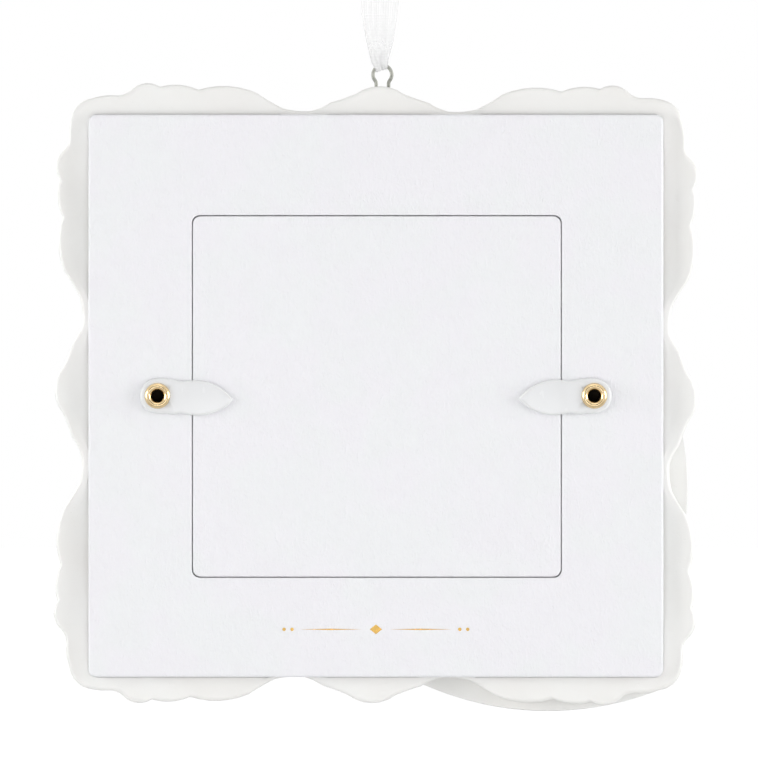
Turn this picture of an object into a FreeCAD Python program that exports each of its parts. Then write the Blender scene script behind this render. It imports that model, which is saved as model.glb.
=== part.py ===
import FreeCAD, Part
import math
import os

from FreeCAD import Vector

# Picture frame ornament of moulded porcelain, hung from a wire eye by a ribbon.
# Millimetres. The origin is the middle of the wire eye, +Z is up. The front, with its window,
# faces -Y. The back, with the covered board and its turn tabs, faces +Y.
# Every piece is drawn about the middle of the frame, and moved under the eye at the end.
# Depths are measured from the porcelain's back plane towards the front.

# Porcelain body: the edge line runs through its waists, and the lobes stand out from it
side_margin = 1.0
top_margin = 0.3
edge_turn = 0.3
lobe_creep = 0.35
corner_reach = 0.7
corner_cut = 0.9
inner_corner = 3.5
rim_thickness = 3.4
back_rounding = 0.5
front_rounding = 1.0

# Half of one side of the edge, from its middle to the corner: distance along it, height of the lobes.
# Arcs run through the points three by three, and the first one is mirrored about the middle.
MIDDLE_LOBE = [(0.0, 3.80), (3.3, 2.60), (5.0, 1.90), (6.7, 1.30), (8.0, 0.50), (9.4, 0.0)]
WAIST = [(11.4, 0.02), (13.2, 0.35)]
BROAD_LOBE = [(14.9, 1.28), (16.7, 2.45), (20.6, 3.40), (24.7, 2.88)]
SECOND_LOBE = [(27.7, 3.56), (29.9, 3.26)]
THIRD_LOBE = [(31.8, 3.76), (33.6, 3.00)]
CORNER_RUN = [(34.6, 2.25), (36.0, 2.03), (37.7, 1.95), (39.1, 1.60)]
top_lobe_share = 0.92
foot_lobe_share = 0.95

# Front relief: how far each line of the petals lies inside the edge, its depth, its share of the lobes
PETAL_LINES = [(2.6, 4.8, 0.85), (6.2, 5.4, 0.42), (9.6, 4.7, 0.0)]
window_width = 45.0
window_height = 44.0
window_corner = 2.5
sight_depth = 4.2
bead_width = 9.0
bead_depth = 8.2
bead_foot_depth = 5.1

# Corner spray on the front, low on the side that lies to the right when seen from behind
spray_inset = 3.9
spray_depth = 3.6
spray_rise = 3.4
petal_count = 5
petal_runs = 6
petal_reach = 6.2
petal_cleft = 1.6
petal_top_share = 0.75
heart_radius = 1.9
heart_rise = 0.9
foot_leaf_length = 37.0
foot_leaf_start = 0.9
foot_leaf_end = 0.2
foot_leaf_bow = 4.2
side_leaf_length = 33.0
side_leaf_end = 1.2
leaf_half_width = 3.6
leaf_top_share = 0.5
leaf_runs = 8

# Covered back board, and the loose door panel in its opening
side_border = 14.25
top_border = 13.95
board_thickness = 2.2
board_corner = 1.1
board_edge_rounding = 0.5
board_drop = 0.2
door_width = 51.1
door_height = 50.0
door_gap = 0.2
door_edge_rounding = 0.3

# Clear sheet and blank card between the window and the door
pane_thickness = 0.5
card_thickness = 0.4
sheet_gap = 0.3
door_play = 0.1

# Eyelets, and the turn tabs that swing on them
eyelet_to_door = 4.65
eyelet_bore = 1.74
eyelet_wall = 0.2
flange_width = 3.56
flange_height = 0.5
set_width = 2.9
set_height = 0.45
eyelet_fit = 0.03
pocket_gap = 1.0
tab_thickness = 0.8
tab_fit = 0.05
tab_head_radius = 2.45
tab_neck_place = 2.3
tab_neck_width = 4.0
tab_shoulder_place = 3.6
tab_shoulder_width = 4.4
tab_leaf_place = 5.4
tab_leaf_width = 4.9
tab_length = 10.5
tab_bevel = 0.35
left_tab_droop = 3.0
right_tab_droop = 2.2

# Wire eye, set in the top of the edge a little to one side of the middle
wire_width = 0.5
wire_sides = 12
eye_radius = 1.3
eye_lift = 1.65
eye_offset = 0.9
leg_bend_radius = 0.8
leg_turn = 38.0
leg_set_depth = 6.0
wire_fit = 0.03

# Ribbon: one loop through the eye, closed by a knot above it
ribbon_thickness = 0.15
knot_height = 3.6
knot_width = 4.2
tail_width = 5.0
tail_length = 9.0
tail_spread = 24.0

# The ribbon's route, depth and height from the middle of the eye, from knot to wire and back
RIBBON_ROUTE = [
    (0.7, 50.4), (2.2, 45.2), (4.3, 36.2), (4.5, 26.0), (3.1, 16.0), (1.6, 8.6), (0.7, 3.4), (0.5, 0.5),
    (-0.5, 0.5), (-0.8, 3.8), (-1.9, 9.2), (-3.6, 17.0), (-5.1, 27.0), (-4.5, 37.0), (-2.3, 45.4), (-0.7, 50.4),
]
# Where the gathered ribbon's two edges lie at each height
RIBBON_EDGES = [
    (-0.5, -0.75, 0.75), (0.9, -0.75, 0.85), (1.9, -0.85, 1.55), (8.0, -1.95, 2.75), (15.0, -2.75, 3.3),
    (22.0, -3.05, 3.15), (43.0, -3.1, 3.1), (49.5, -1.7, 1.7), (51.0, -1.5, 1.5),
]

board_width = door_width + 2 * side_border
board_height = door_height + 2 * top_border
edge_width = board_width + 2 * side_margin
edge_height = board_height + 2 * top_margin
eyelet_span = door_width + 2 * eyelet_to_door
back_plane = rim_thickness / 2
board_back = back_plane + board_thickness
tab_back = board_back + tab_fit + tab_thickness
top_lobe = edge_height / 2 + MIDDLE_LOBE[0][1] * top_lobe_share
eye_x = -eye_offset
eye_z = top_lobe + eye_lift
opening_width = door_width + 2 * door_gap
opening_height = door_height + 2 * door_gap
sheets_depth = pane_thickness + card_thickness + door_play
barrel_radius = eyelet_bore / 2 + eyelet_wall


def at_depth(x, depth, z):
    # A point of the frame, with its depth counted from the porcelain's back plane to the front
    return Vector(x, back_plane - depth, z)


def line(start, end):
    return Part.LineSegment(start, end).toShape()


def arc(start, middle, end):
    return Part.Arc(start, middle, end).toShape()


def bend(start, middle, end):
    # An arc, or a line where the three points lie in line
    if (middle - start).cross(end - middle).Length < 1e-6:
        return line(start, end)
    return arc(start, middle, end)


def rounded_rectangle(width, height, corner, y):
    # A closed wire in the XZ plane that starts up its straight side at +X
    edges = []
    start = Vector(width / 2, y, corner - height / 2)
    for index, (side_x, side_z) in enumerate(((1, 1), (-1, 1), (-1, -1), (1, -1))):
        middle = Vector(side_x * (width / 2 - corner), y, side_z * (height / 2 - corner))
        spots = []
        for turn in (0, 45, 90):
            angle = math.radians(90 * index + turn)
            spots.append(middle + Vector(math.cos(angle), 0, math.sin(angle)) * corner)
        edges.append(line(start, spots[0]))
        edges.append(arc(*spots))
        start = spots[-1]
    return Part.Wire(edges)


def rounded_line(width, height, corner, y):
    # The same outline as points, with short straight runs round its corners
    points = []
    for index, (side_x, side_z) in enumerate(((1, 1), (-1, 1), (-1, -1), (1, -1))):
        middle = Vector(side_x * (width / 2 - corner), y, side_z * (height / 2 - corner))
        for turn in range(0, 91, 15):
            angle = math.radians(90 * index + turn)
            points.append(middle + Vector(math.cos(angle), 0, math.sin(angle)) * corner)
    return points


def plate(width, height, corner, front, thickness):
    # A flat plate whose front face lies at front, thick towards the back
    return Part.Face(rounded_rectangle(width, height, corner, front)).extrude(Vector(0, thickness, 0))


def soft_plate(width, height, corner, front, back, rounding):
    # A plate whose back edge is softened in two steps
    lines = (
        (0, front),
        (0, back - rounding),
        (rounding * 0.3, back - rounding * 0.3),
        (rounding, back),
    )
    wires = []
    for inset, y in lines:
        wires.append(rounded_rectangle(width - 2 * inset, height - 2 * inset, corner - inset, y))
    return Part.makeLoft(wires, True, True)


def faceted(lines):
    # A solid through closed lines of equally many points, with two flat faces between each pair of runs
    faces = [Part.Face(Part.makePolygon(points + points[:1])) for points in (lines[0], lines[-1])]
    for low, high in zip(lines, lines[1:]):
        for index in range(len(low)):
            following = (index + 1) % len(low)
            for corner in (low[following], high[index]):
                side = [low[index], corner, high[following]]
                faces.append(Part.Face(Part.makePolygon(side + side[:1])))
    solid = Part.Solid(Part.Shell(faces))
    if solid.Volume < 0:
        solid.reverse()
    return solid


def rod(radius, x, z, front, back):
    return Part.makeCylinder(radius, back - front, Vector(x, front, z), Vector(0, 1, 0))


def edge_points(inset, share):
    # The scalloped edge, moved in by inset, with its lobes at a share of their height
    lobe_run = WAIST + BROAD_LOBE + SECOND_LOBE + THIRD_LOBE + CORNER_RUN
    sides = (
        (Vector(1, 0, 0), edge_width / 2, 1.0),
        (Vector(0, 0, 1), edge_height / 2, top_lobe_share),
        (Vector(-1, 0, 0), edge_width / 2, 1.0),
        (Vector(0, 0, -1), edge_height / 2, foot_lobe_share),
    )
    corner_round = inner_corner * (1 - share)
    corner = corner_reach * share - inset - 0.3 * corner_round
    points = []
    for index, (out_way, reach, middle_share) in enumerate(sides):
        next_way, next_reach, _ = sides[(index + 1) % len(sides)]
        stretch = (next_reach - inset - corner_cut - corner_round) / CORNER_RUN[-1][0]
        half = [(along, height * middle_share) for along, height in MIDDLE_LOBE] + lobe_run
        mirrored = [(-along, height) for along, height in reversed(half[1:])]
        for along, height in mirrored + half:
            run = along * stretch + lobe_creep * share
            points.append(out_way * (reach - inset + height * share) + next_way * run)
        points.append(out_way * (reach + corner) + next_way * (next_reach + corner))
    return points


def edge_line(inset, depth, share):
    return [point + at_depth(0, depth, 0) for point in edge_points(inset, share)]


def edge_wire(inset, depth, share):
    # The line closed, with arcs through its points
    points = edge_line(inset, depth, share)
    points.append(points[0])
    return Part.Wire([bend(*points[first : first + 3]) for first in range(0, len(points) - 1, 2)])


def petal_body():
    # The rim with its softened back edge, and the petal relief that sinks into a hollow line
    rim = Part.Face(edge_wire(0, back_rounding, 1)).extrude(Vector(0, back_rounding - rim_thickness, 0))
    back_lines = [edge_wire(back_rounding, 0, 1), edge_wire(0, back_rounding, 1)]
    petal_lines = [(front_rounding * 0.7, rim_thickness, 1.0)] + PETAL_LINES
    relief = faceted([edge_line(*values) for values in petal_lines])
    return rim.fuse(Part.makeLoft(back_lines, True, True)).fuse(relief)


def round_run(middle, across, rise, first, last):
    # Points along part of an oval in short straight runs, between two angles in degrees
    step = 45 if last > first else -45
    turns = [math.radians(turn) for turn in range(first, last + step, step)]
    return [(middle[0] + across * math.cos(turn), middle[1] + rise * math.sin(turn)) for turn in turns]


def window_moulding():
    # From its foot inwards: a small cove, a round bead and a wide cove, whose middle the window cuts out
    ledge_depth = (sight_depth + bead_depth) / 2
    bead_half = bead_width * 0.2
    foot = round_run((bead_width, ledge_depth), bead_half, ledge_depth - bead_foot_depth, 270, 180)
    bead = round_run((bead_width * 0.6, ledge_depth), bead_half, bead_depth - ledge_depth, 0, 180)
    cove = round_run((0, ledge_depth), bead_width * 0.34, ledge_depth - sight_depth, 0, -90)
    profile = [(bead_width, sheets_depth)] + foot + bead[1:] + cove + [(-window_corner / 4, sight_depth)]
    lines = []
    for out, depth in profile:
        width = window_width + 2 * out
        height = window_height + 2 * out
        lines.append(rounded_line(width, height, window_corner + out, at_depth(0, depth, 0).y))
    return faceted(lines)


def carved(middle, outline, top_share):
    # A raised form with an upright edge, then a slope to a smaller copy of its outline at its front
    lines = []
    for share, rise in ((1.0, 0.0), (1.0, 0.4), (top_share, 1.0)):
        depth = spray_depth + spray_rise * rise
        lines.append([middle + spot * share + at_depth(0, depth, 0) for spot in outline])
    return faceted(lines)


def leaf(root, tip, inner_bow, outer_bow):
    # A pointed leaf between two bowed sides
    middle = (root + tip) / 2
    along = (tip - root) / 2
    across = Vector(-along.z, 0, along.x).normalize()
    places = [2 * index / leaf_runs - 1 for index in range(leaf_runs + 1)]
    sides = [(place, inner_bow) for place in places] + [(place, -outer_bow) for place in places[-2:0:-1]]
    outline = [along * place + across * bow * (1 - place**2) for place, bow in sides]
    return carved(middle, outline, leaf_top_share)


def flower(middle):
    # Round petals with a shallow cleft between them, and a heart that stands out of them
    outline = []
    for index in range(petal_count * petal_runs):
        angle = 2 * math.pi * index / (petal_count * petal_runs)
        reach = petal_reach - petal_cleft * math.sin(petal_count * angle / 2) ** 2
        outline.append(Vector(math.cos(angle), 0, math.sin(angle)) * reach)
    foot = at_depth(middle.x, spray_depth, middle.z)
    heart = Part.makeCone(heart_radius, heart_radius / 2, spray_rise + heart_rise, foot, Vector(0, -1, 0))
    return [carved(middle, outline, petal_top_share), heart]


def corner_spray():
    # A long leaf on the foot and one on the side, and a small flower where they meet
    middle = Vector(spray_inset - edge_width / 2, 0, spray_inset - edge_height / 2)
    foot_root = Vector(-edge_width / 2 - foot_leaf_start, 0, -edge_height / 2 - foot_leaf_start)
    foot_tip = Vector(foot_root.x + foot_leaf_length, 0, -edge_height / 2 - foot_leaf_end)
    side_tip = Vector(-edge_width / 2 - side_leaf_end, 0, middle.z + side_leaf_length)
    leaves = [
        leaf(foot_root, foot_tip, leaf_half_width, foot_leaf_bow),
        leaf(side_tip, middle, leaf_half_width, leaf_half_width),
    ]
    return leaves + flower(middle)


def porcelain_frame():
    body = petal_body().fuse(window_moulding()).fuse(corner_spray())
    body.rotate(Vector(0, 0, 0), Vector(0, -1, 0), edge_turn)
    window = plate(window_width, window_height, window_corner, at_depth(0, 2 * bead_depth, 0).y, 3 * bead_depth)
    seat_front = at_depth(0, sheets_depth, 0).y
    sheet_seat = plate(opening_width, opening_height, board_corner, seat_front, 2 * sheets_depth)
    cuts = [window, sheet_seat]
    for place in (eyelet_span / 2, -eyelet_span / 2):
        pocket_front = at_depth(0, set_height + pocket_gap, 0).y
        cuts.append(rod(set_width / 2 + pocket_gap, place, 0, pocket_front, back_plane + pocket_gap))
    for cut in cuts:
        cut.translate(Vector(0, 0, -board_drop))
        body = body.cut(cut)
    return body.cut(eye_wire(wire_width / 2 + wire_fit))


def back_board():
    board = soft_plate(board_width, board_height, board_corner, back_plane, board_back, board_edge_rounding)
    # The opening's edge is softened in one step
    steps = (
        (0, back_plane - 1),
        (0, board_back - board_edge_rounding),
        (board_edge_rounding + 1, board_back + 1),
    )
    wires = []
    for grow, y in steps:
        width = opening_width + 2 * grow
        height = opening_height + 2 * grow
        wires.append(rounded_rectangle(width, height, board_corner + grow, y))
    board = board.cut(Part.makeLoft(wires, True, True))
    for place in (eyelet_span / 2, -eyelet_span / 2):
        board = board.cut(rod(barrel_radius + eyelet_fit, place, 0, back_plane - 1, board_back + 1))
    return board


def door_panel():
    return soft_plate(door_width, door_height, board_corner, back_plane, board_back, door_edge_rounding)


def sheet(depth, thickness):
    # A flat sheet that lies in the porcelain's seat
    front = at_depth(0, depth, 0).y
    return plate(opening_width - 2 * sheet_gap, opening_height - 2 * sheet_gap, board_corner, front, thickness)


def eyelet(place):
    # A tube with a rolled flange over the tab and a smaller rolled end behind the board
    bore = eyelet_bore / 2
    flange_front = tab_back + tab_fit
    set_back = back_plane - eyelet_fit
    ends = (
        (set_back, -set_height, set_width / 2),
        (flange_front, flange_height, flange_width / 2),
    )
    rolls = []
    for face, height, radius in ends:
        crown = (radius - bore) / 4
        rolls.append(
            [
                (barrel_radius, face),
                (radius, face + height * 0.2),
                (radius - crown, face + height),
                (bore + crown, face + height),
                (bore, face + height * 0.6),
            ]
        )
    low, high = rolls
    spots = [Vector(place + radius, y, 0) for radius, y in low + high[::-1] + low[:1]]
    return Part.Face(Part.makePolygon(spots)).revolve(Vector(place, 0, 0), Vector(0, 1, 0), 360)


def tab_outline(y, inset):
    # A round head, a narrower neck and a pointed leaf, drawn from the eyelet towards +X
    head = tab_head_radius - inset
    neck = tab_neck_width / 2 - inset
    shoulder = tab_shoulder_width / 2 - inset
    leaf_half = tab_leaf_width / 2 - inset
    head_run = math.sqrt(head**2 - neck**2)
    tip = Vector(tab_length - inset, y, 0)
    ways = []
    for side in (1, -1):
        neck_start = Vector(head_run, y, neck * side)
        neck_middle = Vector(tab_neck_place, y, neck * side)
        leaf_start = Vector(tab_shoulder_place, y, shoulder * side)
        leaf_middle = Vector(tab_leaf_place, y, leaf_half * side)
        ways.append([neck_start, neck_middle, leaf_start, leaf_middle])
    top, low = ways
    return Part.Wire(
        [
            arc(top[0], Vector(-head, y, 0), low[0]),
            arc(*low[:3]),
            arc(low[2], low[3], tip),
            arc(tip, top[3], top[2]),
            arc(*reversed(top[:3])),
        ]
    )


def turn_tab(place, angle):
    # A flat tab with a bevelled back, and a hole for the eyelet
    lines = ((board_back + tab_fit, 0), (tab_back - tab_bevel, 0), (tab_back, tab_bevel))
    tab = Part.makeLoft([tab_outline(*values) for values in lines], True, True)
    tab = tab.cut(rod(barrel_radius + tab_fit, 0, 0, board_back, tab_back + 1))
    tab.rotate(Vector(0, 0, 0), Vector(0, -1, 0), angle)
    tab.translate(Vector(place, 0, 0))
    return tab


def wire_section(radius, middle, sideways):
    # The wire's round section in short straight sides, so that the bent wire stays light
    spots = []
    for index in range(wire_sides + 1):
        angle = 2 * math.pi * index / wire_sides
        spots.append(middle + (sideways * math.cos(angle) + Vector(0, math.sin(angle), 0)) * radius)
    return Part.Face(Part.makePolygon(spots))


def eye_wire(radius):
    # Most of a circle above two legs that bend back to run straight down into the porcelain
    turn = math.radians(leg_turn)
    bend_x = (eye_radius + leg_bend_radius) * math.cos(turn)
    bend_z = -(eye_radius + leg_bend_radius) * math.sin(turn)
    leg_x = bend_x - leg_bend_radius
    depth_way = Vector(0, 1, 0)
    eye = wire_section(radius, Vector(0, 0, eye_radius), Vector(0, 0, 1))
    eye_turn = 90 + leg_turn
    wire = eye.revolve(Vector(0, 0, 0), depth_way, eye_turn)
    wire = wire.fuse(eye.revolve(Vector(0, 0, 0), depth_way, -eye_turn))
    foot_z = -eye_lift - leg_set_depth
    for side in (1, -1):
        leg = wire_section(radius, Vector(side * leg_x, 0, bend_z), Vector(1, 0, 0))
        centre = Vector(side * bend_x, 0, bend_z)
        wire = wire.fuse(leg.revolve(centre, depth_way, side * leg_turn))
        wire = wire.fuse(leg.extrude(Vector(0, 0, foot_z - bend_z)))
    wire = wire.removeSplitter()
    wire.translate(Vector(eye_x, 0, eye_z))
    return wire


def rounded_route(points):
    # Straight runs joined by arcs that touch both runs, each as large as its shorter run allows
    edges = []
    radii = []
    start = points[0]
    for before, corner, after in zip(points, points[1:], points[2:]):
        run_in = corner - before
        run_out = after - corner
        half_turn = run_in.getAngle(run_out) / 2
        cut = 0.45 * min(run_in.Length, run_out.Length)
        radii.append(cut / math.tan(half_turn))
        arc_start = corner - run_in.normalize() * cut
        arc_end = corner + run_out.normalize() * cut
        sideways = (run_out - run_in).normalize()
        arc_middle = corner + sideways * radii[-1] * (1 / math.cos(half_turn) - 1)
        edges.append(line(start, arc_start))
        edges.append(arc(arc_start, arc_middle, arc_end))
        start = arc_end
    edges.append(line(start, points[-1]))
    return Part.Wire(edges), radii


def hanging_ribbon():
    # The loop's side view, given its thickness and width, then trimmed to the gathered edges
    points = [Vector(0, y, z) for y, z in RIBBON_ROUTE]
    route, radii = rounded_route(points)
    width = max(right - left for _, left, right in RIBBON_EDGES) * 2
    one_side = route.makeOffset2D(-ribbon_thickness / 2, 0, False, True)
    band = one_side.makeOffset2D(ribbon_thickness, 0, True, True)
    band.translate(Vector(-width / 2, 0, 0))
    band = band.extrude(Vector(width, 0, 0))
    low_edge = [Vector(left, 0, z) for z, left, _ in RIBBON_EDGES]
    high_edge = [Vector(right, 0, z) for z, _, right in reversed(RIBBON_EDGES)]
    outline = Part.Face(Part.makePolygon(low_edge + high_edge + low_edge[:1]))
    outline.translate(Vector(0, -width, 0))
    ribbon = band.common(outline.extrude(Vector(0, 2 * width, 0)))
    ribbon.translate(Vector(eye_x, 0, eye_z))
    print("ribbon route", round(route.Length, 2), "mm, smallest arc", round(min(radii), 2), "mm")
    return ribbon


def ribbon_knot():
    # A pulled-tight knot with the ribbon's two ends standing out of its top
    middle_z = RIBBON_ROUTE[0][1] + knot_height / 2
    profile = [
        (-0.5, 0),
        (-0.5, 0.5),
        (-0.25, 0.95),
        (0.25, 0.95),
        (0.5, 0.5),
        (0.5, 0),
        (-0.5, 0),
    ]
    spots = [Vector(along * knot_width, 0, height * knot_height / 2) for along, height in profile]
    knot = Part.Face(Part.makePolygon(spots)).revolve(Vector(0, 0, 0), Vector(1, 0, 0), 360)
    for side in (1, -1):
        half = tail_width / 2
        tail = Part.makePolygon(
            [
                Vector(-half / 3, 0, 0),
                Vector(half / 3, 0, 0),
                Vector(half, 0, tail_length),
                Vector(0, 0, tail_length - half / 2),
                Vector(-half, 0, tail_length),
                Vector(-half / 3, 0, 0),
            ]
        )
        tail = Part.Face(tail).extrude(Vector(0, ribbon_thickness * side, 0))
        tail.rotate(Vector(0, 0, 0), Vector(0, 1, 0), tail_spread * side)
        knot = knot.fuse(tail)
    knot.translate(Vector(eye_x, 0, eye_z + middle_z))
    return knot


pieces = {
    "porcelain_frame": porcelain_frame(),
    "hanger_wire": eye_wire(wire_width / 2),
    "hanging_ribbon": hanging_ribbon(),
    "ribbon_knot": ribbon_knot(),
}
board_pieces = {
    "back_board": back_board(),
    "door_panel": door_panel(),
    "window_pane": sheet(sheets_depth, pane_thickness),
    "photo_card": sheet(sheets_depth - pane_thickness, card_thickness),
    "eyelets": Part.makeCompound([eyelet(eyelet_span / 2), eyelet(-eyelet_span / 2)]),
    "tab_left": turn_tab(eyelet_span / 2, 180 + left_tab_droop),
    "tab_right": turn_tab(-eyelet_span / 2, -right_tab_droop),
}
for shape in board_pieces.values():
    shape.translate(Vector(0, 0, -board_drop))
pieces.update(board_pieces)

os.makedirs("parts", exist_ok=True)
for name, shape in pieces.items():
    shape.translate(Vector(-eye_x, 0, -eye_z))
    shape.exportStep("parts/" + name + ".step")
    print(name, "solids:", len(shape.Solids), "mm3:", round(shape.Volume, 2), "valid:", shape.isValid())
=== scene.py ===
"""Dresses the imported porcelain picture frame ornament.

Sizes are millimetres unless a name says otherwise, in the part's own axes: +Y is out of the back
with the door panel, +X lies to the left when that back is seen, and +Z is up. The origin is the
middle of the wire eye.
"""

import logging
import math
from collections.abc import Callable, Iterable, Sequence
from dataclasses import dataclass
from enum import Enum
from typing import Any

import bmesh
import bpy
import numpy as np
from mathutils import Matrix, Vector

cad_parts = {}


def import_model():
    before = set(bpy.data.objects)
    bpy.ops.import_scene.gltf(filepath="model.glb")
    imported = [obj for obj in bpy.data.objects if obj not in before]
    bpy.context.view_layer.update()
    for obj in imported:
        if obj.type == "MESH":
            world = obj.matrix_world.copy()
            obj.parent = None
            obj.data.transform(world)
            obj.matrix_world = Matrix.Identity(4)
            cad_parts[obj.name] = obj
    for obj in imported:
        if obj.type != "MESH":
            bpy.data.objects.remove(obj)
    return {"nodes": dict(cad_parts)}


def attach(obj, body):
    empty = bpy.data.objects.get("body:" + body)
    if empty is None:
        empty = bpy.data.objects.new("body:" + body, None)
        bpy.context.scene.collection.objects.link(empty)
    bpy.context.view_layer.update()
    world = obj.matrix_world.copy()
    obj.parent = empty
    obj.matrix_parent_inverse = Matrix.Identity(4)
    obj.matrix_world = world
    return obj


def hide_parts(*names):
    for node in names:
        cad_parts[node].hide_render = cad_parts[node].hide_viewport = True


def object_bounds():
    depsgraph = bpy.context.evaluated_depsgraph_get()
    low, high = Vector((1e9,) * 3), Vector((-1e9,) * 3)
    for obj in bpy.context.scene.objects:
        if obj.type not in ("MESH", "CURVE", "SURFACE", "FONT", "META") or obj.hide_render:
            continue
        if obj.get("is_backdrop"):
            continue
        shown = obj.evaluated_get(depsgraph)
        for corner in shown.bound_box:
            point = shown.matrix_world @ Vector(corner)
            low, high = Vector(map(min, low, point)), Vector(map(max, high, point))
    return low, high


LOG = logging.getLogger("ornament")
METRES = 0.001

MIDDLE_X = 0.9
MIDDLE_Z = -44.596
EYELET_SPAN = 60.4

Spot = tuple[float, float, float]
FlatSpot = tuple[float, float]
ClothSpot = tuple[float, float, float, float, float]


class Slot(Enum):
    """The record's material slots."""

    PORCELAIN = "porcelain"
    LEATHERETTE = "leatherette"
    CLEAR_PLASTIC = "clear_plastic"
    CARD = "card"
    BRASS = "brass"
    STEEL_WIRE = "steel_wire"
    ORGANZA = "organza"


class Body(Enum):
    """What a piece moves with."""

    FRAME = "frame"
    LEFT_TAB = "left_tab"
    RIGHT_TAB = "right_tab"


def linear(colour: str) -> tuple[float, float, float, float]:
    """Turns an sRGB hex colour to linear light.

    Args:
        colour: Six hex digits after a hash sign.

    Returns:
        Red, green, blue and a full alpha.
    """
    channels = [int(colour[place : place + 2], 16) / 255 for place in (1, 3, 5)]
    light = [c / 12.92 if c <= 0.04045 else ((c + 0.055) / 1.055) ** 2.4 for c in channels]
    return (*light, 1.0)


def per_metre(period: float) -> float:
    """The texture scale that repeats a pattern every so many millimetres."""
    return 1 / (period * METRES)


class Wiring:
    """Adds nodes to one shader or geometry tree."""

    def __init__(self, tree: bpy.types.NodeTree) -> None:
        """Keeps the tree."""
        self.tree = tree

    def fill(self, node: bpy.types.Node, inputs: dict) -> None:
        """Fills a node's inputs with values, output sockets or lists of them, by name or place.

        Args:
            node: The node.
            inputs: What each input gets, by its name or place.
        """
        for key, given in inputs.items():
            for value in given if isinstance(given, list) else [given]:
                if isinstance(value, bpy.types.NodeSocket):
                    self.tree.links.new(value, node.inputs[key])
                else:
                    node.inputs[key].default_value = value

    def add(self, kind: str, inputs: dict | None = None, **settings: Any) -> Any:
        """Adds a node, sets its options and fills its inputs.

        Args:
            kind: The node's type name.
            inputs: What its inputs are filled with.
            **settings: The node's own options.

        Returns:
            The new node's outputs.
        """
        node = self.tree.nodes.new(kind)
        for name, value in settings.items():
            setattr(node, name, value)
        self.fill(node, inputs or {})
        return node.outputs

    def calculate(self, operation: str, *values: Any) -> bpy.types.NodeSocket:
        """The result of one operation on values or sockets.

        Args:
            operation: The operation's name.
            *values: Numbers or sockets, in the node's order.

        Returns:
            The result.
        """
        return self.add("ShaderNodeMath", dict(enumerate(values)), operation=operation)[0]

    def ramp(self, value: Any, low: float, high: float, start: float, end: float) -> bpy.types.NodeSocket:
        """Maps value from low..high to start..end, held at both ends.

        Args:
            value: A number or socket.
            low: The value that gives start.
            high: The value that gives end.
            start: The result at low and below.
            end: The result at high and above.

        Returns:
            The result.
        """
        inputs = {"Value": value, "From Min": low, "From Max": high, "To Min": start, "To Max": end}
        return self.add("ShaderNodeMapRange", inputs)["Result"]


class Look(Wiring):
    """The nodes that feed one material's shader, over the piece's own coordinates."""

    def __init__(self, material: bpy.types.Material) -> None:
        """Starts from the material's own shader."""
        super().__init__(material.node_tree)
        self.shader = self.tree.nodes["Principled BSDF"]

    def feed(self, inputs: dict) -> None:
        """Fills the shader's inputs. Plain numbers stay on its own sockets."""
        self.fill(self.shader, inputs)

    def noise(
        self,
        period: float,
        stretch: Spot = (1, 1, 1),
        turn: float = 0,
        detail: float = 2,
        distortion: float = 0,
    ) -> bpy.types.NodeSocket:
        """Soft noise from 0 to 1.

        Args:
            period: Millimetres between its bumps.
            stretch: Scale along each axis, below 1 for longer marks.
            turn: Degrees that the pattern is turned about Y.
            detail: Octaves of finer noise.
            distortion: How far it is pulled about.

        Returns:
            The noise.
        """
        place = self.add("ShaderNodeTexCoord")["Object"]
        spin = (0, math.radians(turn), 0)
        turned = self.add("ShaderNodeMapping", {"Vector": place, "Rotation": spin, "Scale": stretch})[0]
        inputs = {"Vector": turned, "Scale": per_metre(period), "Detail": detail, "Distortion": distortion}
        return self.add("ShaderNodeTexNoise", inputs)["Fac"]

    def total(self, *values: Any) -> bpy.types.NodeSocket:
        """The values added up.

        Args:
            *values: Sockets or numbers.

        Returns:
            Their sum.
        """
        result = values[0]
        for value in values[1:]:
            result = self.calculate("ADD", result, value)
        return result

    def tint(self, value: Any, low: float, high: float, first: str, second: str, most: float = 1) -> None:
        """Colours the surface, from first towards second as value goes from low to high.

        Args:
            value: A number or socket.
            low: The value that gives the first colour.
            high: The value that goes furthest towards the second.
            first: A hex colour.
            second: A hex colour.
            most: How far it goes towards the second, 1 for all the way.
        """
        inputs = {0: self.ramp(value, low, high, 0, most), 6: linear(first), 7: linear(second)}
        self.feed({"Base Color": self.add("ShaderNodeMix", inputs, data_type="RGBA")[2]})

    def roughen(self, value: Any, low: float, high: float, start: float, end: float) -> None:
        """Takes the roughness from start to end as value goes from low to high.

        Args:
            value: A number or socket.
            low: The value that gives start.
            high: The value that gives end.
            start: One roughness.
            end: The other.
        """
        self.feed({"Roughness": self.ramp(value, low, high, start, end)})

    def raise_surface(self, height: Any, depth: float) -> None:
        """Bumps the surface by a height from 0 to 1 that is depth millimetres tall.

        Args:
            height: A socket from 0 to 1.
            depth: How tall a height of 1 is, in millimetres.
        """
        inputs = {"Strength": 1.0, "Distance": depth * METRES, "Height": height}
        self.feed({"Normal": self.add("ShaderNodeBump", inputs)["Normal"]})


@dataclass(frozen=True)
class Finish:
    """What every finish shares.

    Args:
        name: The real material and how its surface was made.
        colour: Its main colour.
        roughness: Its mean roughness.
        metallic: 1 for a metal.
    """

    name: str
    colour: str
    roughness: float
    metallic: float = 0.0

    def material(self) -> bpy.types.Material:
        """The finish as a material, made once.

        Returns:
            The material of that name.
        """
        found = bpy.data.materials.get(self.name)
        if found:
            return found
        material = bpy.data.materials.new(self.name)
        material.use_nodes = True
        look = Look(material)
        colour = linear(self.colour)
        look.feed({"Base Color": colour, "Roughness": self.roughness, "Metallic": self.metallic})
        self.dress(look)
        return material

    def dress(self, look: Look) -> None:
        """Adds the finish's own pattern and bump."""


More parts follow.
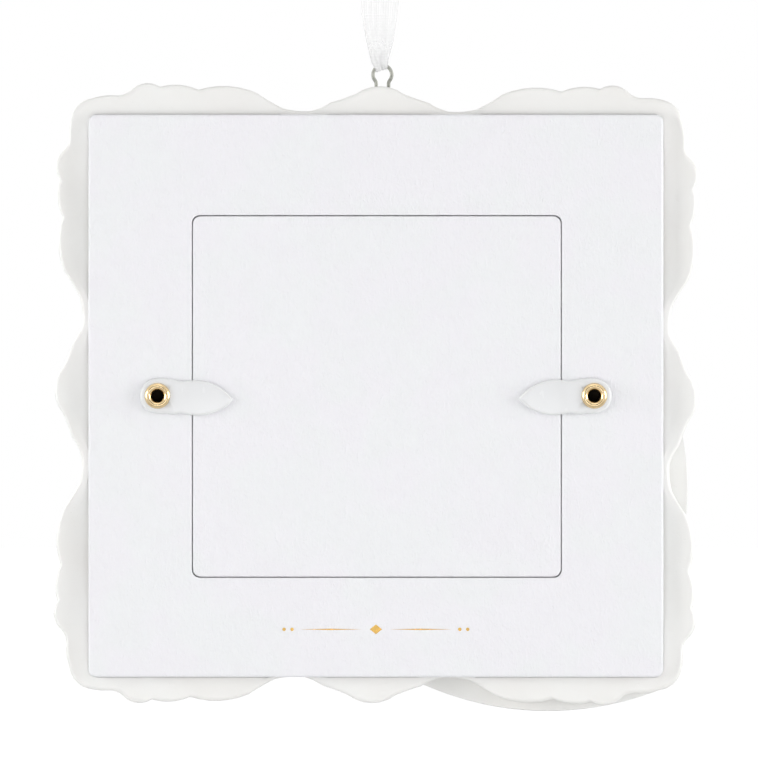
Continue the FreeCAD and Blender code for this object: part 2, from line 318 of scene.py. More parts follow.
@dataclass(frozen=True)
class GlazedPorcelain(Finish):
    """Slip-cast porcelain under a satin glaze: warm white, softly mottled, with a faint orange peel."""

    warm: str = "#f0efec"
    glaze_ripple: float = 1.6
    mottling: float = 14.0
    pinhole: float = 0.35
    relief: float = 0.02

    def dress(self, look: Look) -> None:
        """Adds the mottled body, the uneven glaze and its ripple.

        Args:
            look: The nodes that feed the finish's shader.
        """
        look.tint(look.noise(self.mottling, detail=3), 0.35, 0.65, self.colour, self.warm)
        uneven = look.noise(self.mottling / 2)
        look.roughen(uneven, 0.3, 0.7, self.roughness - 0.06, self.roughness + 0.08)
        pits = look.ramp(look.noise(self.pinhole, detail=0), 0.72, 0.8, 0, -0.6)
        look.raise_surface(look.total(look.noise(self.glaze_ripple, detail=1), pits), self.relief)
        look.feed({"IOR": 1.5, "Coat Weight": 0.15, "Coat Roughness": 0.2})


@dataclass(frozen=True)
class LeatherettePaper(Finish):
    """Embossed, coated paper over board: cool white, with short crinkles pressed in every way."""

    cool: str = "#f0eff3"
    crinkle: float = 0.8
    fine: float = 0.3
    patch: float = 7.0
    emboss: float = 0.018
    crinkle_turns: tuple[FlatSpot, ...] = ((8, 0.4), (62, 0.5), (-48, 0.5))

    def dress(self, look: Look) -> None:
        """Adds the crinkles, from three directions, and the faint patches of colour.

        Args:
            look: The nodes that feed the finish's shader.
        """
        ridges = []
        for turn, stretch in self.crinkle_turns:
            marks = look.noise(self.crinkle, (1, 1, stretch), turn, 1, 0.6)
            off = look.calculate("ABSOLUTE", look.calculate("SUBTRACT", marks, 0.5))
            ridges.append(look.ramp(off, 0.0, 0.07, 1, 0))
        height = look.total(*ridges, look.noise(self.fine, detail=1))
        look.raise_surface(height, self.emboss)
        look.tint(look.noise(self.patch), 0.4, 0.6, self.colour, self.cool)
        look.roughen(height, 0.3, 2.2, self.roughness + 0.08, self.roughness - 0.08)
        look.feed({"IOR": 1.48})


@dataclass(frozen=True)
class ClearSheet(Finish):
    """Clear, slightly milky plastic: glossy, and it lets what lies behind it show."""

    opacity: float = 0.25
    scuff: float = 1.2
    relief: float = 0.015

    def dress(self, look: Look) -> None:
        """Adds the fine scuffs of handling and a faint flow ripple.

        Args:
            look: The nodes that feed the finish's shader.
        """
        scuffs = look.noise(self.scuff, (1, 1, 0.3), 35, 3)
        look.roughen(scuffs, 0.4, 0.75, self.roughness, self.roughness + 0.15)
        look.raise_surface(look.noise(self.scuff * 4, detail=1), self.relief)
        look.feed({"IOR": 1.49, "Alpha": self.opacity})


@dataclass(frozen=True)
class Metal(Finish):
    """Drawn or pressed metal: polished, with tool marks and slight tarnish, which in the bore is painted
    shade.
    """

    tarnish_and_shade: str = "#8a5a1c"
    tarnish_and_shade_share: float = 0.25
    mark: float = 0.3
    mark_depth: float = 0.004

    def dress(self, look: Look) -> None:
        """Adds the tarnish, which in the rivet bore is painted shade, and the marks.

        Args:
            look: The nodes that feed the finish's shader.
        """
        patches = look.noise(self.mark * 3, detail=3)
        # Darker patches: tarnish on the brass, wire and foil, and painted shade in the rivet bore.
        look.tint(patches, 0.45, 0.75, self.colour, self.tarnish_and_shade, self.tarnish_and_shade_share)
        marks = look.noise(self.mark, (1, 1, 0.5), 20)
        look.roughen(marks, 0.3, 0.7, self.roughness - 0.05, self.roughness + 0.1)
        look.raise_surface(marks, self.mark_depth)


@dataclass(frozen=True)
class PlainCard(Finish):
    """Uncoated white card: matte, with a faint felt of fibres."""

    fibre: float = 0.5
    fibre_colour: str = "#f4f2ec"
    relief: float = 0.01

    def dress(self, look: Look) -> None:
        """Adds the fibres.

        Args:
            look: The nodes that feed the finish's shader.
        """
        fibres = look.noise(self.fibre, (1, 1, 0.3), 30, 3, 1.0)
        look.tint(fibres, 0.3, 0.7, self.colour, self.fibre_colour)
        look.raise_surface(fibres, self.relief)


@dataclass(frozen=True)
class Organza(Finish):
    """Sheer woven ribbon: the gathers near the eye close up, and the spread part is see-through.

    The threads are drawn 0.4 mm apart, twice the real spacing, so that they show. Each row of the
    opacity table has a lower and an upper height, and the opacity that it adds at each. The row from
    2.0 to 8.5 mm thins the ribbon upwards above the eye: partly the gathers opening out, and partly
    painted light, fading the ribbon into the white as if it were over-lit.
    """

    thread: float = 0.4
    streak_colour: str = "#f0f0f1"
    relief: float = 0.02
    closeness_and_painted_light: tuple[tuple[float, ...], ...] = (
        (1.4, 3.6, 0.4, 0.0),
        (2.0, 8.5, 0.34, 0.1),
        (11.0, 17.0, 0.0, 0.12),
        (44.0, 52.0, 0.0, 0.35),
    )

    def dress(self, look: Look) -> None:
        """Adds the threads, the streaks of the gathers, and how sheer each height is, partly as painted
        light.

        Args:
            look: The nodes that feed the finish's shader.
        """
        across = look.add("ShaderNodeUVMap", uv_map="cloth")["UV"]
        parts = look.add("ShaderNodeSeparateXYZ", {"Vector": across})
        threads = []
        for name in ("X", "Y"):
            wave = look.calculate("SINE", look.calculate("MULTIPLY", parts[name], 2 * math.pi / self.thread))
            threads.append(look.ramp(wave, -1, 1, 0, 1))
        weave = look.calculate("MAXIMUM", *threads)
        marks = look.add("ShaderNodeMapping", {"Vector": across, "Scale": (1.0, 0.03, 1.0)})["Vector"]
        streak = look.add("ShaderNodeTexNoise", {"Vector": marks, "Scale": 0.9, "Detail": 3})["Fac"]
        place = look.add("ShaderNodeTexCoord")["Object"]
        height = look.add("ShaderNodeSeparateXYZ", {"Vector": place})["Z"]
        shown = [look.ramp(streak, 0.35, 0.7, -0.02, 0.03), look.ramp(weave, 0.2, 1, -0.03, 0.02)]
        # Opacity by height; the fade between 2.0 and 8.5 mm is partly painted light that washes the ribbon
        # out into the white.
        for low, high, start, end in self.closeness_and_painted_light:
            shown.append(look.ramp(height, low * METRES, high * METRES, start, end))
        alpha = look.add("ShaderNodeClamp", {"Value": look.total(*shown), "Min": 0.02, "Max": 1.0})[0]
        look.feed({"Alpha": alpha, "Sheen Weight": 0.3})
        look.tint(streak, 0.35, 0.7, self.colour, self.streak_colour)
        look.raise_surface(weave, self.relief)


GLAZE = GlazedPorcelain("satin_glazed_porcelain", "#f3f3f1", 0.36)
COVER = LeatherettePaper("embossed_leatherette_paper", "#eff0f2", 0.4)
TAB_PLASTIC = ClearSheet("moulded_milky_plastic", "#fafbfc", 0.16, opacity=0.75)
TAB_RIM = ClearSheet("moulded_milky_plastic_rim", "#fafbfb", 0.1, opacity=0.75)
TAB_UNDERSIDE = ClearSheet("moulded_milky_plastic_underside", "#f6f7f4", 0.3, opacity=0.03)
# Near-black metal lining the eyelets' bore and plug: painted shade, standing in for the dark of the deep
# hole.
BORE_PAINTED_SHADE = Metal("painted_shade_rivet_bore", "#2a1d0c", 0.6, 0.6, "#120c06", 0.8)
ACETATE = ClearSheet("clear_acetate_sheet", "#f2f4f4", 0.05, opacity=0.03)
BRASS = Metal("rolled_polished_brass", "#ecd3a6", 0.18, 1.0, "#a27a48")
WIRE = Metal("drawn_steel_wire", "#adaea7", 0.5, 1.0, "#7b7c75", 0.8, 0.5, 0.02)
FOIL = Metal("hot_stamped_gold_foil", "#c8a45c", 0.28, 1.0, "#a98442", 0.4, 0.4, 0.002)
CARD = PlainCard("uncoated_white_card", "#efede8", 0.75)
ORGANZA = Organza("woven_white_organza", "#f9f9f9", 0.55)


def link(obj: bpy.types.Object) -> bpy.types.Object:
    """Puts an object in the scene."""
    bpy.context.scene.collection.objects.link(obj)
    return obj


def shade(mesh: bpy.types.Mesh, sharp: float) -> None:
    """Shades a mesh smoothly, with an edge where it turns by more than sharp degrees."""
    mesh.polygons.foreach_set("use_smooth", [True] * len(mesh.polygons))
    mesh.set_sharp_from_angle(angle=math.radians(sharp))


class MeshForm:
    """Gathers one piece's vertices and faces, in millimetres."""

    def __init__(self) -> None:
        """Starts empty."""
        self.bm = bmesh.new()

    def add_rows(
        self,
        rows: Sequence[Sequence[Spot | ClothSpot]],
        ring: bool = True,
        loop: bool = False,
        capped: bool = False,
        cloth: bool = False,
    ) -> None:
        """Adds a skin of quads over rows of points.

        Args:
            rows: Rows with the same number of points.
            ring: Whether each row closes on itself.
            loop: Whether the last row joins the first.
            capped: Whether the first and last rows are filled.
            cloth: Whether the points' own places across and along are kept as a UV map.
        """
        skin = [[self.bm.verts.new(Vector(spot[:3]) * METRES) for spot in row] for row in rows]
        layer = self.bm.loops.layers.uv.verify() if cloth else None
        last_row = len(rows) if loop else len(rows) - 1
        last_spot = len(rows[0]) if ring else len(rows[0]) - 1
        for first in range(last_row):
            second = (first + 1) % len(rows)
            for left in range(last_spot):
                right = (left + 1) % len(rows[0])
                corners = ((first, left), (first, right), (second, right), (second, left))
                face = self.bm.faces.new([skin[row][spot] for row, spot in corners])
                if layer:
                    for corner, (row, spot) in zip(face.loops, corners):
                        corner[layer].uv = rows[row][spot][3:5]
        if capped:
            self.bm.faces.new(skin[0])
            self.bm.faces.new(skin[-1])

    def add_mesh(self, mesh: bpy.types.Mesh) -> None:
        """Adds a mesh that is already in metres."""
        self.bm.from_mesh(mesh)

    def finish(self, name: str, finish: Finish, sharp: float = 40, closed: bool = True) -> bpy.types.Object:
        """Makes the object.

        Args:
            name: The piece's name.
            finish: Its finish.
            sharp: Degrees past which an edge stays sharp.
            closed: Whether its faces bound solid forms, which are then turned to face outwards.

        Returns:
            The object, at the origin.
        """
        bmesh.ops.remove_doubles(self.bm, verts=self.bm.verts, dist=1e-7)
        bmesh.ops.dissolve_degenerate(self.bm, edges=self.bm.edges, dist=1e-7)
        if closed:
            bmesh.ops.recalc_face_normals(self.bm, faces=self.bm.faces)
        mesh = bpy.data.meshes.new(name)
        self.bm.to_mesh(mesh)
        self.bm.free()
        for layer in mesh.uv_layers:
            layer.name = "cloth"
        mesh.materials.append(finish.material())
        shade(mesh, sharp)
        return link(bpy.data.objects.new(name, mesh))


def settle(piece: bpy.types.Object, body: Body, slot: Slot, *nodes: str) -> bpy.types.Object:
    """Sets what a piece moves with and hides the nodes that it replaces.

    Args:
        piece: The finished piece.
        body: What it moves with.
        slot: Not used.
        *nodes: The nodes that it replaces.

    Returns:
        The piece.
    """
    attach(piece, body.value)
    if nodes:
        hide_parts(*nodes)
    LOG.info("%s: %d faces", piece.name, len(piece.data.polygons))
    return piece


def plain_mesh(piece: bpy.types.Object, name: str) -> bpy.types.Mesh:
    """The piece's mesh with its modifiers worked in.

    Args:
        piece: An object, with its modifiers live.
        name: The mesh's name.

    Returns:
        A mesh without modifiers.
    """
    bpy.context.view_layer.update()
    graph = bpy.context.evaluated_depsgraph_get()
    mesh = bpy.data.meshes.new_from_object(piece.evaluated_get(graph))
    mesh.name = name
    return mesh


def work_in(piece: bpy.types.Object, even: bool = False) -> None:
    """Works the piece's modifiers into its mesh, with even shading over flat faces where asked.

    Args:
        piece: An object, with its modifiers live.
        even: Whether its flat faces get even shading.
    """
    if even:
        piece.modifiers.new("even_shading", "WEIGHTED_NORMAL").keep_sharp = True
    piece.data = plain_mesh(piece, piece.name)
    piece.modifiers.clear()


def curve_line(name: str, kind: str, points: Sequence[Spot]) -> bpy.types.Object:
    """A curve object of one spline over points.

    Args:
        name: The object's name.
        kind: The spline's type.
        points: Its points, in millimetres.

    Returns:
        The curve object.
    """
    curve = bpy.data.curves.new(name, "CURVE")
    curve.dimensions = "3D"
    spline = curve.splines.new(kind)
    spline.points.add(len(points) - 1)
    for point, (x, y, z) in zip(spline.points, points):
        point.co = (x * METRES, y * METRES, z * METRES, 1)
    return link(bpy.data.objects.new(name, curve))


class FormTree(Wiring):
    """A geometry tree with named inputs that is run on one object and then made a plain mesh."""

    kinds = {int: "NodeSocketInt", float: "NodeSocketFloat", tuple: "NodeSocketVector"}

    def __init__(self, name: str, sizes: dict[str, Any]) -> None:
        """Makes the empty tree with its inputs and output.

        Args:
            name: The tree's name.
            sizes: Its named inputs, with their values.
        """
        super().__init__(bpy.data.node_groups.new(name, "GeometryNodeTree"))
        self.name = name
        self.sizes = sizes
        face = self.tree.interface
        face.new_socket("Geometry", in_out="INPUT", socket_type="NodeSocketGeometry")
        self.keys = {}
        for size, value in sizes.items():
            socket = face.new_socket(size, in_out="INPUT", socket_type=self.kinds[type(value)])
            self.keys[size] = socket.identifier
        face.new_socket("Geometry", in_out="OUTPUT", socket_type="NodeSocketGeometry")
        self.inputs = self.add("NodeGroupInput")

    def copies(self, points: bpy.types.NodeSocket, form: Any, **inputs: Any) -> bpy.types.NodeSocket:
        """A copy of a form on each point.

        Args:
            points: Where the copies go.
            form: What is copied.
            **inputs: The node's other inputs.

        Returns:
            The copies.
        """
        return self.add("GeometryNodeInstanceOnPoints", {"Points": points, "Instance": form, **inputs})[0]

    def run(self, piece: bpy.types.Object, made: bpy.types.NodeSocket, finish: Finish) -> bpy.types.Mesh:
        """Ends the tree, runs it on the piece, and removes the piece.

        Args:
            piece: The object whose geometry goes in.
            made: The tree's result.
            finish: What it is made of.

        Returns:
            A plain mesh of the result.
        """
        real = self.add("GeometryNodeRealizeInstances", {"Geometry": made})[0]
        inputs = {"Geometry": real, "Material": finish.material()}
        dressed = self.add("GeometryNodeSetMaterial", inputs)[0]
        self.add("NodeGroupOutput", {"Geometry": dressed})
        modifier = piece.modifiers.new(self.name, "NODES")
        modifier.node_group = self.tree
        for name, value in self.sizes.items():
            modifier[self.keys[name]] = value
        mesh = plain_mesh(piece, self.name)
        bpy.data.objects.remove(piece)
        return mesh


def arc_points(start: FlatSpot, middle: FlatSpot, end: FlatSpot, count: int) -> list[FlatSpot]:
    """Points on the circle through three points.

    Args:
        start: The first point.
        middle: A point between.
        end: The last point, which isn't among the result.
        count: How many points.

    Returns:
        Points from start towards end, on a line where the three lie in line.
    """
    (ax, ay), (bx, by), (cx, cy) = start, middle, end
    twice = 2 * (ax * (by - cy) + bx * (cy - ay) + cx * (ay - by))
    steps = [place / count for place in range(count)]
    if abs(twice) < 1e-5:
        return [(ax + (cx - ax) * s, ay + (cy - ay) * s) for s in steps]
    squares = [ax * ax + ay * ay, bx * bx + by * by, cx * cx + cy * cy]
    x = (squares[0] * (by - cy) + squares[1] * (cy - ay) + squares[2] * (ay - by)) / twice
    y = (squares[0] * (cx - bx) + squares[1] * (ax - cx) + squares[2] * (bx - ax)) / twice
    angles = [math.atan2(py - y, px - x) for px, py in (start, middle, end)]
    turn = (angles[2] - angles[0]) % (2 * math.pi)
    if (angles[1] - angles[0]) % (2 * math.pi) > turn:
        turn -= 2 * math.pi
    radius = math.hypot(ax - x, ay - y)
    turns = [angles[0] + turn * s for s in steps]
    return [(x + radius * math.cos(a), y + radius * math.sin(a)) for a in turns]


def oval_points(middle: FlatSpot, reach: FlatSpot, first: float, last: float, count: int) -> list[FlatSpot]:
    """Points along part of an oval.

    Args:
        middle: Its middle.
        reach: Its half width and half height.
        first: The angle of the first point, in degrees.
        last: The angle of the last point.
        count: Steps between the two.

    Returns:
        The points, with both ends.
    """
    angles = [math.radians(first + (last - first) * step / count) for step in range(count + 1)]
    return [(middle[0] + reach[0] * math.cos(a), middle[1] + reach[1] * math.sin(a)) for a in angles]


def unit_turn(last: float, count: int) -> list[FlatSpot]:
    """The cosine and sine of even steps from 0 to last degrees, without the end of a full turn."""
    steps = oval_points((0, 0), (1, 1), 0, last, count)
    return steps[:-1] if last == 360 else steps


def from_side(side: int, out: float, along: float) -> FlatSpot:
    """The flat point so far out on one side and so far along it.

    Args:
        side: Which side, counted from +X to +Z.
        out: How far out from the middle.
        along: How far along the side from its middle.

    Returns:
        The point.
    """
    ways = ((1, 0), (0, 1), (-1, 0), (0, -1))
    (ox, oz), (nx, nz) = ways[side % 4], ways[(side + 1) % 4]
    return (ox * out + nx * along, oz * out + nz * along)


def smooth_between(stops: Sequence[Sequence[float]], count: int) -> list[list[float]]:
    """A smooth run through stops.

    Args:
        stops: Rows of values.
        count: Steps between two stops.

    Returns:
        The rows, with count - 1 new ones between each two.
    """
    table = np.array(stops, float)
    padded = np.vstack([2 * table[0] - table[1], table, 2 * table[-1] - table[-2]])
    rows = []
    for place in range(len(table) - 1):
        a, b, c, d = padded[place : place + 4]
        for step in range(count):
            t = step / count
            lower = (c - a) * t + (2 * a - 5 * b + 4 * c - d) * t**2
            rows.append(0.5 * (2 * b + lower + (3 * b - a - 3 * c + d) * t**3))
    rows.append(table[-1])
    return [list(row) for row in rows]


@dataclass(frozen=True)
class RoundedWindow:
    """A rounded rectangle whose points are matched to the scalloped edge's."""

    width: float
    height: float
    corner: float

    def grown(self, by: float) -> "RoundedWindow":
        """The same, larger by so much all round."""
        return RoundedWindow(self.width + 2 * by, self.height + 2 * by, self.corner + by)

    def line(self) -> list[FlatSpot]:
        """Its points, with eight steps round each corner.

        Returns:
            The points, from the side at +X to the one at +Z and on.
        """
        points = []
        for index, (side_x, side_z) in enumerate(((1, 1), (-1, 1), (-1, -1), (1, -1))):
            middle = (side_x * (self.width / 2 - self.corner), side_z * (self.height / 2 - self.corner))
            points += oval_points(middle, (self.corner, self.corner), 90 * index, 90 * (index + 1), 8)
        return points

    def spot(self, around: float) -> FlatSpot:
        """The point at a place around it, from 0 to 4, which counts its sides from +X to +Z.

        Args:
            around: The place.

        Returns:
            The point.
        """
        side = int(around)
        reach, half = (self.width, self.height) if side % 2 == 0 else (self.height, self.width)
        out, half = reach / 2, half / 2
        straight = half - self.corner
        along = (2 * (around - side) - 1) * (straight + self.corner * math.pi / 4)
        if abs(along) > straight:
            turn = (abs(along) - straight) / self.corner
            out -= self.corner * (1 - math.cos(turn))
            along = math.copysign(straight + self.corner * math.sin(turn), along)
        return from_side(side, out, along)


BOARD = RoundedWindow(79.6, 77.9, 1.1)


@dataclass
class PorcelainFrame:
    """The moulded body: its scalloped rim, petal relief, window moulding and corner spray.

    Each row of lobe_line is a place along half a side and the edge's height there. Each row of
    petal_stops is an inset from the edge, a depth, and the share of the lobes' height that is left.
    The bead's half width and middle, the flat and the cove are shares of bead_width.
    """

    centre_x: float = MIDDLE_X
    window_drop: float = 0.2
    centre_z: float = MIDDLE_Z + window_drop
    back: float = 1.7
    edge_width: float = 81.6
    edge_height: float = 78.5
    edge_turn: float = 0.3
    lobe_creep: float = 0.35
    corner_reach: float = 0.7
    corner_cut: float = 0.9
    inner_corner: float = 3.5
    corner_ease: float = 0.3
    rim: float = 3.4
    back_rounding: float = 0.5
    front_rounding: float = 1.0
    front_slope: float = 0.7
    lobe_shares: tuple[float, ...] = (1.0, 0.92, 1.0, 0.95)
    lobe_line: tuple[FlatSpot, ...] = (
        (0.0, 3.80), (3.3, 2.60), (5.0, 1.90), (6.7, 1.30), (8.0, 0.50),
        (9.4, 0.0), (11.4, 0.02), (13.2, 0.35), (14.9, 1.28), (16.7, 2.45),
        (20.6, 3.40), (24.7, 2.88), (27.7, 3.56), (29.9, 3.26), (31.8, 3.76),
        (33.6, 3.00), (34.6, 2.25), (36.0, 2.03), (37.7, 1.95), (39.1, 1.60),
    )
    middle_lobe_points: int = 6
    petal_stops: tuple[Spot, ...] = ((0.7, 3.4, 1.0), (2.3, 4.6, 0.88), (4.8, 5.3, 0.6), (7.6, 5.2, 0.25))
    hollow_depth: float = 4.75
    groove: float = 0.7
    groove_run: float = 8.5
    dip_span: int = 41
    dip_depth: float = 0.7
    window: RoundedWindow = RoundedWindow(45.0, 44.0, 2.5)
    seat: RoundedWindow = RoundedWindow(51.5, 50.4, 1.1)
    board_groove: float = 0.14
    groove_floor: float = 0.3
    groove_wall: float = 0.3
    inner_margin: float = 0.9
    outer_margin: float = 0.7
    flat_margin: float = 0.6
    crease: float = 0.1
    dish: float = 0.2
    dish_depth: float = 0.65
    dish_steps: int = 6
    dish_fade: float = 6.0
    seat_depth: float = 1.0
    sight_depth: float = 4.2
    bead_width: float = 9.0
    bead_depth: float = 8.2
    bead_foot: float = 5.1
    bead_half: float = 0.2
    bead_middle: float = 0.6
    flat_shares: FlatSpot = (0.38, 0.345)
    cove_reach: float = 0.34
    seat_lip: float = 0.05
    seat_hair: float = 0.02
    arc_steps: int = 6

    def edge_stops(self, inset: float, share: float) -> list[FlatSpot]:
        """The scalloped edge's points, moved in by inset, with its lobes at a share of their height.

        Args:
            inset: How far it is moved in.
            share: The share of the lobes' height.

        Returns:
            The points that the arcs start, pass and end at.
        """
        reaches = (self.edge_width / 2, self.edge_height / 2) * 2
        rounding = self.inner_corner * (1 - share)
        corner = self.corner_reach * share - inset - self.corner_ease * rounding
        points = []
        for side, lobe_share in enumerate(self.lobe_shares):
            reach, next_reach = reaches[side], reaches[(side + 1) % 4]
            stretch = (next_reach - inset - self.corner_cut - rounding) / self.lobe_line[-1][0]
            half = []
            for place, (along, height) in enumerate(self.lobe_line):
                half.append((along, height * (lobe_share if place < self.middle_lobe_points else 1)))
            mirrored = [(-along, height) for along, height in reversed(half[1:])]
            for along, height in mirrored + half:
                run = along * stretch + self.lobe_creep * share
                points.append(from_side(side, reach - inset + height * share, run))
            points.append(from_side(side, reach + corner, next_reach + corner))
        return points

    def turned(self, line: Iterable[FlatSpot]) -> list[FlatSpot]:
        """Flat points, turned as the whole rim is."""
        cos, sin = math.cos(math.radians(self.edge_turn)), math.sin(math.radians(self.edge_turn))
        return [(x * cos - z * sin, x * sin + z * cos) for x, z in line]

    def edge(self, inset: float, share: float) -> list[FlatSpot]:
        """The edge as smooth arcs.

        Args:
            inset: How far it is moved in.
            share: The share of the lobes' height.

        Returns:
            The points.
        """
        stops = self.edge_stops(inset, share)
        stops.append(stops[0])
        line = []
        for first in range(0, len(stops) - 1, 2):
            line += arc_points(*stops[first : first + 3], self.arc_steps)
        return self.turned(line)

    def around(self) -> list[float]:
        """Where each of the edge's points lies round a rectangle, from 0 to 4.

        Returns:
            One place for each point.
        """
        places = []
        for x, z in self.edge(0, 1):
            nx, nz = x / (self.edge_width / 2), z / (self.edge_height / 2)
            if abs(nx) >= abs(nz):
                side, along = (0, nz / nx) if nx > 0 else (2, nz / nx)
            else:
                side, along = (1, -nx / nz) if nz > 0 else (3, -nx / nz)
            places.append(side + min(max((along + 1) / 2, 0.0), 0.99999))
        return places

    def dips(self) -> np.ndarray:
        """How deep each of the edge's points lies in a dip between lobes, from 0 to 1.

        Returns:
            One value for each point.
        """
        full = np.array(self.edge(0, 1))
        base = np.array(self.edge(0, 0))
        height = np.linalg.norm(full, axis=1) - np.linalg.norm(base, axis=1)
        kernel = np.hanning(self.dip_span)
        count = len(height)
        wide = np.convolve(np.tile(height, 3), kernel / kernel.sum(), "same")[count : 2 * count]
        return np.clip((wide - height) / self.dip_depth, 0, 1)

    def placed(self, line: Iterable[FlatSpot], depth: Iterable[float], drop: float = 0) -> list[Spot]:
        """Flat points with their depths, in the part's axes."""
        middle_z = self.centre_z - drop
        return [(x + self.centre_x, self.back - d, z + middle_z) for (x, z), d in zip(line, depth)]

    def bead_profile(self) -> list[FlatSpot]:
        """How far the moulding lies from the sight edge, and its depth, from its foot inwards.

        Returns:
            Pairs of a distance and a depth.
        """
        ledge, wide = (self.sight_depth + self.bead_depth) / 2, self.bead_width
        half = wide * self.bead_half
        foot = oval_points((wide, ledge), (half, ledge - self.bead_foot), 270, 180, 6)
        bead = oval_points((wide * self.bead_middle, ledge), (half, self.bead_depth - ledge), 0, 180, 16)
        flat = [(wide * share, ledge) for share in self.flat_shares]
        cove = oval_points((0, ledge), (wide * self.cove_reach, ledge - self.sight_depth), 0, -90, 8)
        return foot + bead[1:] + flat + cove + [(0, self.sight_depth - self.seat_lip)]

    def rectangle(self, form: RoundedWindow, depth: float) -> list[Spot]:
        """A ring on a rounded rectangle at one depth."""
        line = [form.spot(place) for place in self.around()]
        return self.placed(line, [depth] * len(line), self.window_drop)

    def rim_ring(self, inset: float, depth: float) -> list[Spot]:
        """A ring that follows the scallops at one depth."""
        line = self.edge(inset, 1)
        return self.placed(line, [depth] * len(line))

    def groove_ring(self, grow: float, inset: float, depth: float) -> list[Vector]:
        """A ring beside the board's outline, held back to where the rim still lies flat.

        Args:
            grow: How far it lies outside the board.
            inset: The least distance from the rounding of the rim's edge.
            depth: Its depth.

        Returns:
            The ring.
        """
        beside = self.rectangle(BOARD.grown(grow), depth)
        inner = self.rim_ring(self.back_rounding + inset, depth)
        middle = Vector((self.centre_x, self.back - depth, self.centre_z))
        pairs = zip(map(Vector, beside), map(Vector, inner))
        return [min(pair, key=lambda spot: (spot - middle).length) for pair in pairs]

    def board_groove_rings(self) -> list[list[Spot]]:
        """The line pressed round the board, and the rim's shallow dish beside its two upright sides.

        Returns:
            The rings, from under the board out to the rim.
        """
        inner, outer = (-self.groove_wall, self.inner_margin), (self.board_groove, self.outer_margin)
        rows = [self.groove_ring(*inner, 0)]
        outside = [Vector(spot) for spot in self.rim_ring(self.back_rounding + self.flat_margin, 0)]
        ways = [near - far for near, far in zip(self.groove_ring(*outer, 0), outside)]
        sinks = []
        for place, way in zip(self.around(), ways):
            along = place % 1
            upright = min(self.dish_fade * min(along, 1 - along), 1) if int(place) % 2 == 0 else 0
            sinks.append(min(self.dish * way.length, self.dish_depth) * upright)
        for margins in (inner, outer):
            ring = self.groove_ring(*margins, self.groove_floor)
            rows.append([(x, y - sink, z) for (x, y, z), sink in zip(ring, sinks)])
        for step in range(self.dish_steps + 1):
            share = 1 - step / self.dish_steps
            spots = [far + way * share for far, way in zip(outside, ways)]
            rows.append([(spot.x, spot.y - sink * share**2, spot.z) for spot, sink in zip(spots, sinks)])
        return rows

    def body(self) -> list[list[Spot]]:
        """The rings of the whole body, from the seat's back edge round to the seat again.

        Returns:
            The rings, with as many points each.
        """
        rows = [self.rectangle(self.seat, 0), self.rectangle(self.seat.grown(self.crease), 0)]
        rows += self.board_groove_rings()
        rows.append(self.rim_ring(self.back_rounding + self.crease, 0))
        for cos, sin in unit_turn(90, 5):
            rows.append(self.rim_ring(self.back_rounding * (1 - sin), self.back_rounding * (1 - cos)))
        for cos, sin in unit_turn(90, 5):
            inset = self.front_rounding * self.front_slope * (1 - cos)
            rows.append(self.rim_ring(inset, self.rim - self.front_rounding * (1 - sin)))
        dips = self.dips()
        for inset, depth, share in smooth_between(self.petal_stops, 5)[1:]:
            swell = math.sin(math.pi * min(inset / self.groove_run, 1)) * self.groove
            rows.append(self.placed(self.edge(inset, share), depth - dips * swell))
        outer = rows[-1]
        foot = self.rectangle(self.window.grown(self.bead_width), self.bead_foot)
        for step in range(1, 6):
            share = step / 6
            sink = math.sin(math.pi * share) * (self.bead_foot - self.hollow_depth)
            row = []
            for near, far in zip(outer, foot):
                x, y, z = (a + (b - a) * share for a, b in zip(near, far))
                row.append((x, y + sink, z))
            rows.append(row)
        for across, depth in self.bead_profile():
            rows.append(self.rectangle(self.window.grown(across), depth))
        rows.append(self.rectangle(self.window, self.seat_depth + self.seat_lip))
        rows.append(self.rectangle(self.window.grown(self.seat_hair), self.seat_depth))
        rows.append(self.rectangle(self.seat, self.seat_depth))
        return rows

    def build(self) -> bpy.types.Object:
        """Makes the body and its spray as one piece.

        Returns:
            The piece.
        """
        form = MeshForm()
        form.add_rows(self.body(), loop=True)
        CornerSpray(self).add_to(form)
        piece = form.finish("porcelain_body", GLAZE, 38)
        return settle(piece, Body.FRAME, Slot.PORCELAIN, "porcelain_frame")


